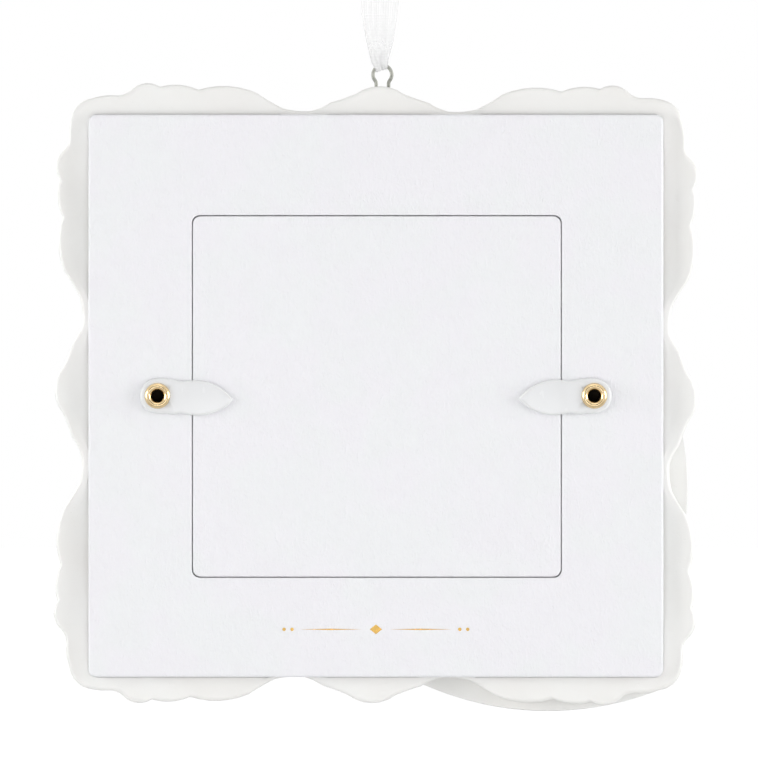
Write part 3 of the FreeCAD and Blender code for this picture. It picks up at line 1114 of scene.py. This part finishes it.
@dataclass
class CornerSpray:
    """The leaves and the small flower moulded on the front, low on one side."""

    frame: PorcelainFrame
    inset: float = 3.9
    depth: float = 3.6
    rise: float = 3.4
    foot_length: float = 37.0
    foot_start: float = 0.9
    foot_end: float = 0.2
    foot_bow: float = 4.2
    side_length: float = 33.0
    side_end: float = 1.2
    half_width: float = 3.6
    petal_reach: float = 6.2
    petal_half: float = 2.9
    petal_count: int = 5
    stamen_count: int = 9
    stamen_radius: float = 0.38
    stamen_ring: float = 1.0
    leaf_steps: int = 32
    leaf_foot: float = 0.3
    leaf_crown: float = 0.62
    vein: float = 0.16
    vein_count: int = 9
    vein_slant: float = 1.2
    rib: float = 0.45
    rib_width: float = 0.12
    petal_start: float = 0.5
    petal_lift: float = 0.55
    heart_lift: float = 0.62
    petal_notch: float = 0.35
    petal_cup: float = 0.5
    petal_ripple: float = 0.18

    def leaf(self, root: Vector, tip: Vector, inner_bow: float, outer_bow: float) -> list[list[Spot]]:
        """The rings of one leaf, each across it, over its veined front and back along its flat back.

        Args:
            root: One end.
            tip: The other end.
            inner_bow: How far its inner edge bows out.
            outer_bow: How far its outer edge does.

        Returns:
            The rings.
        """
        middle, half = (root + tip) / 2, (tip - root) / 2
        across = Vector((-half.y, half.x)).normalized()
        lines = []
        for bow in (inner_bow, -outer_bow):
            top = middle + across * bow
            lines.append(arc_points(tuple(root), tuple(top), tuple(tip), self.leaf_steps) + [tuple(tip)])
        rows = []
        sides = [step / 6 - 1 for step in range(13)]
        for place, (inner, outer) in enumerate(zip(*lines)):
            along = place / self.leaf_steps
            swell = math.sin(math.pi * along) ** 0.6
            spots = []
            for side in sides:
                crown = (1 - abs(side) ** 2.2) * swell
                wave = math.cos(2 * math.pi * (along * self.vein_count - abs(side) * self.vein_slant))
                vein = self.vein * wave * (1 - abs(side)) * swell
                rib = self.rib * math.exp(-((side / self.rib_width) ** 2)) * swell
                height = self.rise * (self.leaf_foot + self.leaf_crown * crown) + vein - rib
                spots.append((side, self.depth + height))
            spots += [(side * 0.96, self.depth) for side in reversed(sides)]
            row = []
            for side, depth in spots:
                x, z = (a + (b - a) * (side + 1) / 2 for a, b in zip(inner, outer))
                row.append((x, depth, z))
            rows.append(self.placed(row))
        return rows

    def placed(self, row: Sequence[Spot]) -> list[Spot]:
        """Points with a depth as their second value, in the part's axes."""
        flat = self.frame.turned((x, z) for x, _, z in row)
        return self.frame.placed(flat, [depth for _, depth, _ in row])

    def petal(self) -> list[list[Spot]]:
        """One cupped petal that points along +X, with its foot at the flower's middle.

        Returns:
            Its rings, from the foot to the tip.
        """
        rows = []
        sides = [step / 5 - 1 for step in range(11)]
        for place in range(17):
            along = place / 16
            reach = self.petal_start + (self.petal_reach - self.petal_start) * along
            half = self.petal_half * math.sin(math.pi * (0.06 + 0.94 * along) ** 0.75) ** 0.6
            half = max(half, 0.01)
            row = []
            for side in sides:
                notch = self.petal_notch * math.exp(-((side / 0.3) ** 2)) * along**4
                cup = self.petal_cup * (side**2 * along + along**2)
                ripple = self.petal_ripple * math.cos(math.pi * side * 3) * along
                row.append((reach - notch, ripple - cup - self.rise * self.petal_lift, half * side))
            row += [(reach * 0.98, 0.0, half * side * 0.92) for side in reversed(sides)]
            rows.append(row)
        return rows

    def flower(self, middle: Vector) -> bpy.types.Mesh:
        """Turns the petal round the middle, with a cluster of beads inside.

        Args:
            middle: Where its middle lies on the frame.

        Returns:
            The flower's mesh.
        """
        form = MeshForm()
        form.add_rows(self.petal(), capped=True)
        petal = form.finish("spray_petal", GLAZE)
        sizes = {
            "Petals": self.petal_count,
            "Stamens": self.stamen_count,
            "Stamen ring": self.stamen_ring * METRES,
            "Stamen radius": self.stamen_radius * METRES,
            "Lift": self.rise * self.heart_lift * METRES,
        }
        tree = FormTree("spray_flower", sizes)
        rings = []
        for count, radius in (("Petals", 1e-6), ("Stamens", tree.inputs["Stamen ring"])):
            circle = tree.add("GeometryNodeMeshCircle", {"Vertices": tree.inputs[count], "Radius": radius})
            rings.append(circle[0])
        share = tree.calculate("DIVIDE", tree.add("GeometryNodeInputIndex")[0], tree.inputs["Petals"])
        angle = tree.calculate("MULTIPLY_ADD", share, 2 * math.pi, math.pi / self.petal_count)
        turned = tree.add("ShaderNodeCombineXYZ", {"Y": angle})[0]
        petals = tree.copies(rings[0], tree.inputs["Geometry"], Rotation=turned)
        beads = []
        for size, parts in (("Stamen radius", 3), ("Stamen ring", 4)):
            inputs = {"Radius": tree.inputs[size], "Subdivisions": parts}
            beads.append(tree.add("GeometryNodeMeshIcoSphere", inputs)[0])
        beads[0] = tree.copies(rings[1], beads[0])
        lift = tree.calculate("MULTIPLY", tree.inputs["Lift"], -1.0)
        inputs = {
            "Geometry": tree.add("GeometryNodeJoinGeometry", {0: beads})[0],
            "Translation": tree.add("ShaderNodeCombineXYZ", {"Y": lift})[0],
            "Rotation": (math.pi / 2, 0, 0),
            "Scale": (1, 1, 0.8),
        }
        heart = tree.add("GeometryNodeTransform", inputs)[0]
        joined = tree.add("GeometryNodeJoinGeometry", {0: [petals, heart]})[0]
        mesh = tree.run(petal, joined, GLAZE)
        x, y, z = self.placed([(middle.x, self.depth, middle.y)])[0]
        mesh.transform(Matrix.Translation(Vector((x, y, z)) * METRES))
        return mesh

    def add_to(self, form: MeshForm) -> None:
        """Adds the leaves and the flower to the body's form.

        Args:
            form: The body's form.
        """
        half_w, half_h = self.frame.edge_width / 2, self.frame.edge_height / 2
        middle = Vector((self.inset - half_w, self.inset - half_h))
        foot_root = Vector((-half_w - self.foot_start, -half_h - self.foot_start))
        foot_tip = Vector((foot_root.x + self.foot_length, -half_h - self.foot_end))
        side_tip = Vector((-half_w - self.side_end, middle.y + self.side_length))
        form.add_rows(self.leaf(foot_root, foot_tip, self.half_width, self.foot_bow))
        form.add_rows(self.leaf(side_tip, middle, self.half_width, self.half_width))
        form.add_mesh(self.flower(middle))


@dataclass
class HangerWire:
    """The eye of bent wire in the top edge."""

    radius: float = 0.25
    eye: float = 1.3
    bend: float = 0.8
    turn: float = 38.0
    foot: float = -7.65
    neck: float = 0.3

    def path(self) -> list[FlatSpot]:
        """The wire's line from one foot over the eye to the other.

        Returns:
            The line's points, as x and z.
        """
        lean = math.radians(self.turn)
        bend_x = (self.eye + self.bend) * math.cos(lean)
        bend_z = -(self.eye + self.bend) * math.sin(lean)
        side = oval_points((bend_x, bend_z), (-self.bend, self.bend), 0, self.turn, 8)
        arc = oval_points((0, 0), (self.eye, self.eye), -self.turn, 180 + self.turn, 48)[1:-1]
        right = [(bend_x - self.bend, self.foot), (bend_x - self.bend, bend_z - self.neck)] + side
        left = [(-x, z) for x, z in reversed(right)]
        return right + arc + left

    def build(self) -> bpy.types.Object:
        """Sweeps the wire along its line.

        Returns:
            The piece.
        """
        line = curve_line("wire_line", "POLY", [(x, 0, z) for x, z in self.path()])
        tree = FormTree("hanger_eye", {"Wire radius": self.radius * METRES})
        inputs = {"Resolution": 20, "Radius": tree.inputs["Wire radius"]}
        ring = tree.add("GeometryNodeCurvePrimitiveCircle", inputs)[0]
        inputs = {"Curve": tree.inputs["Geometry"], "Profile Curve": ring, "Fill Caps": True}
        mesh = tree.run(line, tree.add("GeometryNodeCurveToMesh", inputs)[0], WIRE)
        shade(mesh, 60)
        piece = link(bpy.data.objects.new("hanger_eye", mesh))
        return settle(piece, Body.FRAME, Slot.STEEL_WIRE, "hanger_wire")


@dataclass
class HangingRibbon:
    """The sheer ribbon loop through the eye, and the knot that closes it.

    The route's points are depth and height. Each row of edges is a height and the ribbon's two
    edges there.
    """

    width: float = 6.2
    length: float = 102.0
    thickness: float = 0.07
    folds: int = 4
    pleat_share: float = 0.26
    second_pleat: float = 0.35
    sway: float = 0.4
    sway_turn: float = 0.08
    eye_slant: float = 0.33
    eye_reach: float = 1.4
    eye_top: float = 2.0
    eye_pleat: float = 0.6
    knot_z: float = 52.2
    knot_half: float = 2.1
    knot_radius: float = 1.75
    knot_pleat: float = 0.054
    knot_wrap: float = 0.072
    tail_length: float = 9.0
    tail_root: float = 0.8
    tail_half: float = 2.4
    tail_spread: float = 24.0
    tail_pleat: float = 0.28
    tail_sway: float = 0.4
    route: tuple[FlatSpot, ...] = (
        (0.7, 50.4), (2.2, 45.2), (4.3, 36.2), (4.5, 26.0), (3.1, 16.0), (1.6, 8.6),
        (0.7, 3.4), (0.5, 0.5), (-0.5, 0.5), (-0.8, 3.8), (-1.9, 9.2), (-3.6, 17.0),
        (-5.1, 27.0), (-4.5, 37.0), (-2.3, 45.4), (-0.7, 50.4),
    )
    edges: tuple[Spot, ...] = (
        (-0.5, -0.75, 0.75), (0.9, -0.75, 0.95), (1.9, -0.85, 1.55), (4.6, -1.55, 2.2),
        (8.0, -2.1, 2.85), (15.0, -2.75, 3.3), (22.0, -3.05, 3.15), (43.0, -3.1, 3.1),
        (49.5, -1.7, 1.7), (51.0, -1.5, 1.5),
    )

    def centreline(self) -> list[Vector]:
        """The points of a smooth line along the route, in metres.

        Returns:
            The points.
        """
        line = curve_line("ribbon_line", "NURBS", [(0, y, z) for y, z in self.route])
        spline = line.data.splines[0]
        spline.order_u = 3
        spline.use_endpoint_u = True
        spline.resolution_u = 20
        mesh = bpy.data.meshes.new_from_object(line)
        points = [vertex.co.copy() for vertex in mesh.vertices]
        bpy.data.objects.remove(line)
        return points

    def band(self, points: Sequence[Vector]) -> list[list[ClothSpot]]:
        """Rows across the ribbon, pleated where it is gathered.

        Args:
            points: The centreline.

        Returns:
            The rows, whose points also have their place across the cloth and along it.
        """
        heights, lows, highs = zip(*self.edges)
        rows = []
        run = 0.0
        for place, point in enumerate(points):
            before, after = points[max(place - 1, 0)], points[min(place + 1, len(points) - 1)]
            way = (after - before).normalized()
            out = Vector((0, way.z, -way.y))
            run += (point - before).length / METRES
            z = point.z / METRES
            low, high = np.interp(z, heights, lows), np.interp(z, heights, highs)
            spare = math.sqrt(max(self.width**2 - (high - low) ** 2, 0.4))
            pleat = self.pleat_share * spare / (4 * self.folds) * (self.eye_pleat if z < self.eye_top else 1)
            near_eye = math.exp(-(((z - 0.5) / self.eye_reach) ** 2))
            row = []
            for step in range(49):
                across = step / 48
                sway = self.sway * math.sin(self.sway_turn * run)
                phase = 2 * math.pi * (self.folds * across + 0.25) + sway
                lift = pleat * (math.sin(phase) + self.second_pleat * math.sin(phase * 0.5 + 1.3))
                x = low + (high - low) * across + 0.3 * pleat * math.sin(2 * phase)
                slant = self.eye_slant * (0.4 - x) * near_eye
                spot = point / METRES + out * lift
                row.append((x, spot.y, spot.z + slant, across * self.width, run))
            rows.append(row)
        return rows

    def tail(self, side: int) -> list[list[ClothSpot]]:
        """Rows along one short end, with a notch cut in it.

        Args:
            side: 1 or -1, the side it leans to.

        Returns:
            The rows, as the band's.
        """
        lean = math.radians(self.tail_spread) * side
        cos, sin = math.cos(lean), math.sin(lean)
        rows = []
        for place in range(25):
            along = place / 24
            half = self.tail_root + (self.tail_half - self.tail_root) * min(along * 1.6, 1)
            row = []
            for step in range(17):
                share = step / 8 - 1
                reach = self.tail_length * along - (1 - abs(share)) * half * 0.9 * along**6
                pleat = self.tail_pleat * math.cos(share * 7) * (1 - along)
                pleat += self.tail_sway * side * math.sin(2.2 * along)
                x = half * share
                cloth = ((share + 1) * self.width / 2, reach)
                row.append((x * cos + reach * sin, pleat, self.knot_z + reach * cos - x * sin, *cloth))
            rows.append(row)
        return rows

    def knot(self) -> bpy.types.Object:
        """The pulled-tight knot with its two ends.

        Returns:
            The piece.
        """
        form = MeshForm()
        rows = []
        for place in range(33):
            share = place / 16 - 1
            swell = (1 - abs(share) ** 3.2) ** 0.55 if abs(share) < 1 else 0.02
            row = []
            for step in range(64):
                angle = 2 * math.pi * step / 64
                pleat = self.knot_pleat * math.sin(9 * share * math.pi + 2 * math.sin(angle + 0.6))
                wrap = self.knot_wrap * math.sin(angle * 2 + share * 2.4)
                radius = max(self.knot_radius * swell * (0.92 + pleat + wrap), 0.02)
                y, z = radius * math.cos(angle), self.knot_z + radius * 1.05 * math.sin(angle)
                row.append((self.knot_half * share, y, z, share * 3, angle * self.knot_radius))
            rows.append(row)
        form.add_rows(rows, capped=True, cloth=True)
        for side in (1, -1):
            form.add_rows(self.tail(side), ring=False, cloth=True)
        piece = form.finish("ribbon_bow_knot", ORGANZA, 80)
        return settle(piece, Body.FRAME, Slot.ORGANZA, "ribbon_knot")

    def build(self) -> list[bpy.types.Object]:
        """Returns:
            The loop and the knot.
        """
        points = self.centreline()
        form = MeshForm()
        form.add_rows(self.band(points), ring=False, cloth=True)
        loop = form.finish("ribbon_loop", ORGANZA, 80, closed=False)
        wall = loop.modifiers.new("cloth_thickness", "SOLIDIFY")
        wall.thickness = self.thickness * METRES
        wall.offset = 0
        work_in(loop)
        settle(loop, Body.FRAME, Slot.ORGANZA, "hanging_ribbon")
        knot = self.knot()
        tuple(points[0])
        [tuple(point) for point in points]
        return [loop, knot]


@dataclass
class Eyelets:
    """The two brass eyelets that hold the board, and that the tabs turn on.

    The profile's points are a radius and a place along the axis, from the bore over the rolled
    flange to the clinched end. The plug is a near-black disc that closes the bore, and the bore's
    wall is near-black too: both are painted shade for the deep hole.
    """

    bore: float = 0.8
    bore_top: float = 4.72
    bore_ease: float = 1.003
    painted_shade_plug: FlatSpot = (1.75, 1.85)
    painted_shade_plug_share: float = 0.99
    profile: tuple[FlatSpot, ...] = (
        (0.80, 1.46), (0.80, 4.72), (0.83, 4.88), (0.90, 5.02), (1.00, 5.14), (1.11, 5.23),
        (1.22, 5.28), (1.33, 5.30), (1.44, 5.27), (1.57, 5.20), (1.67, 5.10), (1.75, 4.98),
        (1.78, 4.88), (1.74, 4.81), (1.66, 4.80), (1.07, 4.80), (1.07, 1.67), (1.40, 1.67),
        (1.45, 1.58), (1.42, 1.42), (1.32, 1.30), (1.16, 1.23), (1.00, 1.27), (0.90, 1.36),
    )

    def build(self) -> bpy.types.Object:
        """Turns one eyelet and sets a second one beside it.

        Returns:
            The piece.
        """
        form = MeshForm()
        turns = unit_turn(360, 72)
        rows = [[(radius * cos, y, radius * sin) for radius, y in self.profile] for cos, sin in turns]
        form.add_rows(rows, loop=True)
        inner = self.bore * self.painted_shade_plug_share
        rows = [[(inner * cos, y, inner * sin) for cos, sin in turns] for y in self.painted_shade_plug]
        form.add_rows(rows, capped=True)
        one = form.finish("eyelet_form", BRASS, 50)
        sizes = {
            "Count": 2,
            "First place": ((MIDDLE_X + EYELET_SPAN / 2) * METRES, 0.0, MIDDLE_Z * METRES),
            "Step": (-EYELET_SPAN * METRES, 0.0, 0.0),
        }
        tree = FormTree("board_eyelets", sizes)
        names = {"Count": "Count", "Start Location": "First place", "Offset": "Step"}
        inputs = {name: tree.inputs[size] for name, size in names.items()}
        places = tree.add("GeometryNodeMeshLine", inputs)[0]
        mesh = tree.run(one, tree.copies(places, tree.inputs["Geometry"]), BRASS)
        # The faces inside the bore, the plug among them, take the near-black finish: painted shade for the
        # deep hole.
        mesh.materials.append(BORE_PAINTED_SHADE.material())
        for face in mesh.polygons:
            x, y, z = face.center / METRES
            side = math.copysign(EYELET_SPAN / 2, x)
            inside = math.hypot(x - MIDDLE_X - side, z - MIDDLE_Z) < self.bore * self.bore_ease
            face.material_index = int(inside and y < self.bore_top)
        piece = link(bpy.data.objects.new("board_eyelets", mesh))
        return settle(piece, Body.FRAME, Slot.BRASS, "eyelets")


@dataclass
class FoilMotif:
    """A thin stamped foil rule with a lozenge and dots, low on the covered board."""

    middle_z: float = -76.9
    board_back: float = 3.9
    thickness: float = 0.012
    sunk: float = 0.01
    lozenge: FlatSpot = (0.85, 0.68)
    rule_start: float = 1.9
    rule_end: float = 10.6
    rule_half: float = 0.1
    dot: float = 0.24
    dot_places: tuple[float, ...] = (11.6, 12.7)

    def outlines(self) -> list[list[FlatSpot]]:
        """The motif's flat shapes.

        Returns:
            An outline for each shape.
        """
        wide, tall = self.lozenge
        shapes = [[(wide, 0), (0, tall), (-wide, 0), (0, -tall)]]
        for side in (1, -1):
            start, end = side * self.rule_start, side * self.rule_end
            middle = (start + end) / 2
            shapes.append([(start, 0), (middle, self.rule_half), (end, 0), (middle, -self.rule_half)])
            for place in self.dot_places:
                shapes.append(oval_points((side * place, 0), (self.dot, self.dot), 0, 360, 16)[:-1])
        return shapes

    def build(self) -> bpy.types.Object:
        """Makes the shapes as foil with a real thickness.

        Returns:
            The piece.
        """
        form = MeshForm()
        for outline in self.outlines():
            rows = []
            for y in (self.board_back - self.sunk, self.board_back + self.thickness):
                rows.append([(x + MIDDLE_X, y, z + self.middle_z) for x, z in outline])
            form.add_rows(rows, capped=True)
        piece = form.finish("foil_motif", FOIL, 30)
        return settle(piece, Body.FRAME, Slot.BRASS)


@dataclass
class CoveredPanels:
    """The back board and the door panel, with the soft edges of paper that is folded round board."""

    front: float = 1.7
    back: float = 3.9
    opening: RoundedWindow = RoundedWindow(51.16, 50.14, 1.1)
    door: RoundedWindow = RoundedWindow(50.92, 49.9, 1.1)
    door_shift: FlatSpot = (-0.13, -0.09)
    fold: float = 0.15
    board_edge: float = 0.42
    opening_edge: float = 0.2
    door_edge: float = 0.22
    eyelet_hole: float = 1.1

    def ring(self, form: RoundedWindow, grow: float, y: float) -> list[Spot]:
        """A ring of points on a rounded rectangle, which the opening and the door hold a little aside.

        Args:
            form: The board's, the opening's or the door's outline.
            grow: How far outside it the ring lies.
            y: Its place along the axis.

        Returns:
            The ring.
        """
        aside = (0.0, 0.0) if form is BOARD else self.door_shift
        return [(x + MIDDLE_X + aside[0], y, z + MIDDLE_Z + aside[1]) for x, z in form.grown(grow).line()]

    def wall(self, form: RoundedWindow, out: int, edge: float) -> list[list[Spot]]:
        """Rings up one side wall, from its folded front edge over its rounded back edge.

        Args:
            form: The wall's outline.
            out: 1 where the wall faces outwards and -1 round an opening.
            edge: The radius of the back edge.

        Returns:
            The rings.
        """
        rows = [self.ring(form, -out * self.fold, self.front), self.ring(form, 0, self.front + self.fold)]
        for cos, sin in unit_turn(90, 6):
            rows.append(self.ring(form, -out * edge * (1 - cos), self.back - edge * (1 - sin)))
        return rows

    def covered_board(self) -> bpy.types.Object:
        """The board with its opening, and a hole for each eyelet.

        Returns:
            The piece.
        """
        form = MeshForm()
        outside = self.wall(BOARD, 1, self.board_edge)
        inside = self.wall(self.opening, -1, self.opening_edge)
        form.add_rows(outside + inside[::-1], loop=True)
        piece = form.finish("covered_board", COVER, 50)
        punch = MeshForm()
        for side in (1, -1):
            middle = (MIDDLE_X + side * EYELET_SPAN / 2, MIDDLE_Z)
            circle = oval_points(middle, (self.eyelet_hole, self.eyelet_hole), 0, 360, 48)[:-1]
            rows = [[(x, y, z) for x, z in circle] for y in (self.front - 1, self.back + 1)]
            punch.add_rows(rows, capped=True)
        holes = punch.finish("eyelet_holes", COVER)
        cut = piece.modifiers.new("eyelet_holes", "BOOLEAN")
        cut.operation = "DIFFERENCE"
        cut.solver = "EXACT"
        cut.object = holes
        work_in(piece, even=True)
        bpy.data.objects.remove(holes)
        return settle(piece, Body.FRAME, Slot.LEATHERETTE, "back_board")

    def covered_door(self) -> bpy.types.Object:
        """The loose door panel in the opening.

        Returns:
            The piece.
        """
        form = MeshForm()
        form.add_rows(self.wall(self.door, 1, self.door_edge), capped=True)
        piece = form.finish("covered_door", COVER, 50)
        work_in(piece, even=True)
        return settle(piece, Body.FRAME, Slot.LEATHERETTE, "door_panel")

    def build(self) -> None:
        """Makes both."""
        self.covered_board()
        self.covered_door()


@dataclass
class FlatPieces:
    """The sheets and the turn tabs, from their own solids' shapes."""

    nodes: dict[str, bpy.types.Object]
    waist_place: float = 1.9
    waist_run: float = 1.0
    waist_growth: float = 0.25
    hair: float = 0.03
    flat_normal: float = 0.98

    def smoothed(
        self, node: str, name: str, finish: Finish, body: Body, slot: Slot, *others: Finish
    ) -> bpy.types.Object:
        """A merged copy of a node with even shading.

        Args:
            node: The node that it replaces.
            name: The new piece's name.
            finish: Its finish.
            body: What it moves with.
            slot: Its material slot.
            *others: The finish of the faces that don't lie flat, and that of the flat front.

        Returns:
            The piece.
        """
        form = MeshForm()
        form.add_mesh(self.nodes[node].data)
        piece = form.finish(name, finish, 50)
        for other in others:
            piece.data.materials.append(other.material())
        for face in piece.data.polygons:
            face.material_index = 0
            if others and face.normal.y < self.flat_normal:
                face.material_index = 2 if face.normal.y < -self.flat_normal else 1
        work_in(piece, even=True)
        return settle(piece, body, slot, node)

    def free_back(self, pane: bpy.types.Object) -> None:
        """Thins the pane by a hair at its back, so that its face doesn't fall in the card's.

        Args:
            pane: The clear pane.
        """
        back = max(vertex.co.y for vertex in pane.data.vertices)
        for vertex in pane.data.vertices:
            if back - vertex.co.y < 1e-6:
                vertex.co.y -= self.hair * METRES

    def fill_waist(self, tab: bpy.types.Object, axis_x: float) -> None:
        """Broadens a tab's waist beside its eyelet, which is almost as wide as the tab's two ends.

        Args:
            tab: The tab.
            axis_x: Where its eyelet's axis lies.
        """
        for vertex in tab.data.vertices:
            x, y, z = vertex.co / METRES
            along = (axis_x - x) * math.copysign(1, axis_x)
            grow = 1 + self.waist_growth * math.exp(-(((along - self.waist_place) / self.waist_run) ** 2))
            vertex.co = Vector((x, y, MIDDLE_Z + (z - MIDDLE_Z) * grow)) * METRES

    def build(self) -> None:
        """Makes each flat piece."""
        pane = self.smoothed("window_pane", "clear_pane", ACETATE, Body.FRAME, Slot.CLEAR_PLASTIC)
        self.free_back(pane)
        self.smoothed("photo_card", "blank_card", CARD, Body.FRAME, Slot.CARD)
        for side, node, body in ((1, "tab_left", Body.LEFT_TAB), (-1, "tab_right", Body.RIGHT_TAB)):
            finishes = (TAB_RIM, TAB_UNDERSIDE)
            tab = self.smoothed(node, node + "_clear", TAB_PLASTIC, body, Slot.CLEAR_PLASTIC, *finishes)
            self.fill_waist(tab, MIDDLE_X + side * EYELET_SPAN / 2)


@dataclass
class Studio:
    """The camera, the soft lights, the white surroundings and the floor.

    Each soft box has a name, a place and a size in metres, and a power in watts. The dark end's
    values are where it starts and ends towards the camera, and the levels there.
    """

    distance: float = 1.0
    picture_side: float = 105.06
    sensor: float = 36.0
    view_x: float = 0.47
    view_z: float = -42.27
    focus_y: float = 2.0
    floor_z: float = -160.0
    floor_reach: float = 4000.0
    floor_colour: str = "#e8e8e8"
    floor_glow: float = 0.75
    ambient: float = 0.415
    dark_end: tuple[float, ...] = (0.78, 0.93, 0.9, 0.06)
    aim: Spot = (0.0, 0.0, -0.045)
    soft_boxes: tuple[tuple[str, Spot, float, float], ...] = (
        ("left_box", (0.7, 0.34, -0.03), 0.5, 3.5),
        ("right_box", (-0.74, 0.26, -0.03), 0.5, 4.4),
        ("top_box", (0.0, 0.4, 0.6), 0.5, 0.5),
        ("low_box", (0.0, 0.35, -0.13), 0.2, 0.22),
        ("front_left_box", (0.5, -0.6, 0.2), 0.5, 2.0),
        ("front_right_box", (-0.5, -0.6, 0.2), 0.5, 1.2),
    )

    def camera(self) -> None:
        """Places the camera square behind the ornament, as in the photograph."""
        data = bpy.data.cameras.new("camera")
        data.sensor_width = self.sensor
        data.lens = self.sensor * (self.distance - self.focus_y * METRES) / (self.picture_side * METRES)
        data.clip_start = 0.01
        data.clip_end = 100
        camera = link(bpy.data.objects.new("camera", data))
        camera.location = (self.view_x * METRES, self.distance, self.view_z * METRES)
        camera.rotation_euler = (math.pi / 2, 0, math.pi)
        bpy.context.scene.camera = camera

    def soft_light(self, name: str, place: Spot, size: float, power: float) -> None:
        """Hangs one soft box that faces the ornament.

        Args:
            name: Its name.
            place: Its middle, in metres.
            size: Its side, in metres.
            power: Its power, in watts.
        """
        data = bpy.data.lights.new(name, "AREA")
        data.shape = "SQUARE"
        data.size = size
        data.energy = power
        light = link(bpy.data.objects.new(name, data))
        light.location = place
        light.rotation_euler = (Vector(self.aim) - Vector(place)).to_track_quat("-Z", "Y").to_euler()
        light.visible_camera = False

    def surroundings(self) -> None:
        """White where the camera looks, soft grey light all round, and a dark end behind the camera."""
        world = bpy.data.worlds.new("studio")
        world.use_nodes = True
        bpy.context.scene.world = world
        world.node_tree.nodes.clear()
        sky = Wiring(world.node_tree)
        rays = sky.add("ShaderNodeLightPath")
        place = sky.add("ShaderNodeTexCoord")["Generated"]
        depth = sky.add("ShaderNodeSeparateXYZ", {"Vector": place})["Y"]
        dark_end = sky.ramp(depth, *self.dark_end)
        mirrored = sky.add("ShaderNodeMix", {0: rays["Is Glossy Ray"], 2: self.ambient, 3: dark_end})[0]
        seen = sky.calculate("MAXIMUM", rays["Is Camera Ray"], rays["Is Transmission Ray"])
        level = sky.add("ShaderNodeMix", {0: seen, 2: mirrored, 3: 1.0})[0]
        shader = sky.add("ShaderNodeBackground", {"Color": (1, 1, 1, 1), "Strength": level})
        sky.add("ShaderNodeOutputWorld", {"Surface": shader[0]})

    def floor(self) -> None:
        """Lays a pale floor well below, which keeps its shadows."""
        form = MeshForm()
        corners = [from_side(side, self.floor_reach, self.floor_reach) for side in (2, 3, 0, 1)]
        form.bm.faces.new([form.bm.verts.new(Vector((x, y, self.floor_z)) * METRES) for x, y in corners])
        material = bpy.data.materials.new("pale_floor")
        material.use_nodes = True
        material.node_tree.nodes.clear()
        look = Wiring(material.node_tree)
        rays = look.add("ShaderNodeLightPath")
        matte = look.add("ShaderNodeBsdfDiffuse", {"Color": linear(self.floor_colour)})[0]
        glow = look.calculate("MULTIPLY", rays["Is Camera Ray"], self.floor_glow)
        white = look.add("ShaderNodeEmission", {"Strength": glow})[0]
        both = look.add("ShaderNodeAddShader", {0: matte, 1: white})[0]
        look.add("ShaderNodeOutputMaterial", {"Surface": both})
        floor = form.finish("floor", CARD, closed=False)
        floor.data.materials.clear()
        floor.data.materials.append(material)
        floor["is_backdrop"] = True

    def build(self) -> None:
        """Sets the studio up, apart from the camera."""
        for box in self.soft_boxes:
            self.soft_light(*box)
        self.surroundings()
        self.floor()
        bpy.context.scene.view_settings.view_transform = "Standard"


def keep_sizes(before: tuple[Vector, Vector], measure: Callable[[], tuple[Vector, Vector]]) -> None:
    """Measures the dressed part's box and gathers it with the solids' box.

    Args:
        before: The solids' lowest and highest corners.
        measure: Gives the dressed part's.
    """
    after = measure()
    sizes = {"cad": [list(corner) for corner in before], "visual": [list(corner) for corner in after]}


def main() -> None:
    """Builds the camera and the ribbon first, and then every other piece."""
    logging.basicConfig(level=logging.INFO, format="%(message)s")
    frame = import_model()
    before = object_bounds()
    studio = Studio()
    studio.camera()
    HangingRibbon().build()
    HangerWire().build()
    PorcelainFrame().build()
    CoveredPanels().build()
    FlatPieces(frame["nodes"]).build()
    Eyelets().build()
    FoilMotif().build()
    studio.build()
    keep_sizes(before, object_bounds)


if __name__ == "__main__":
    main()
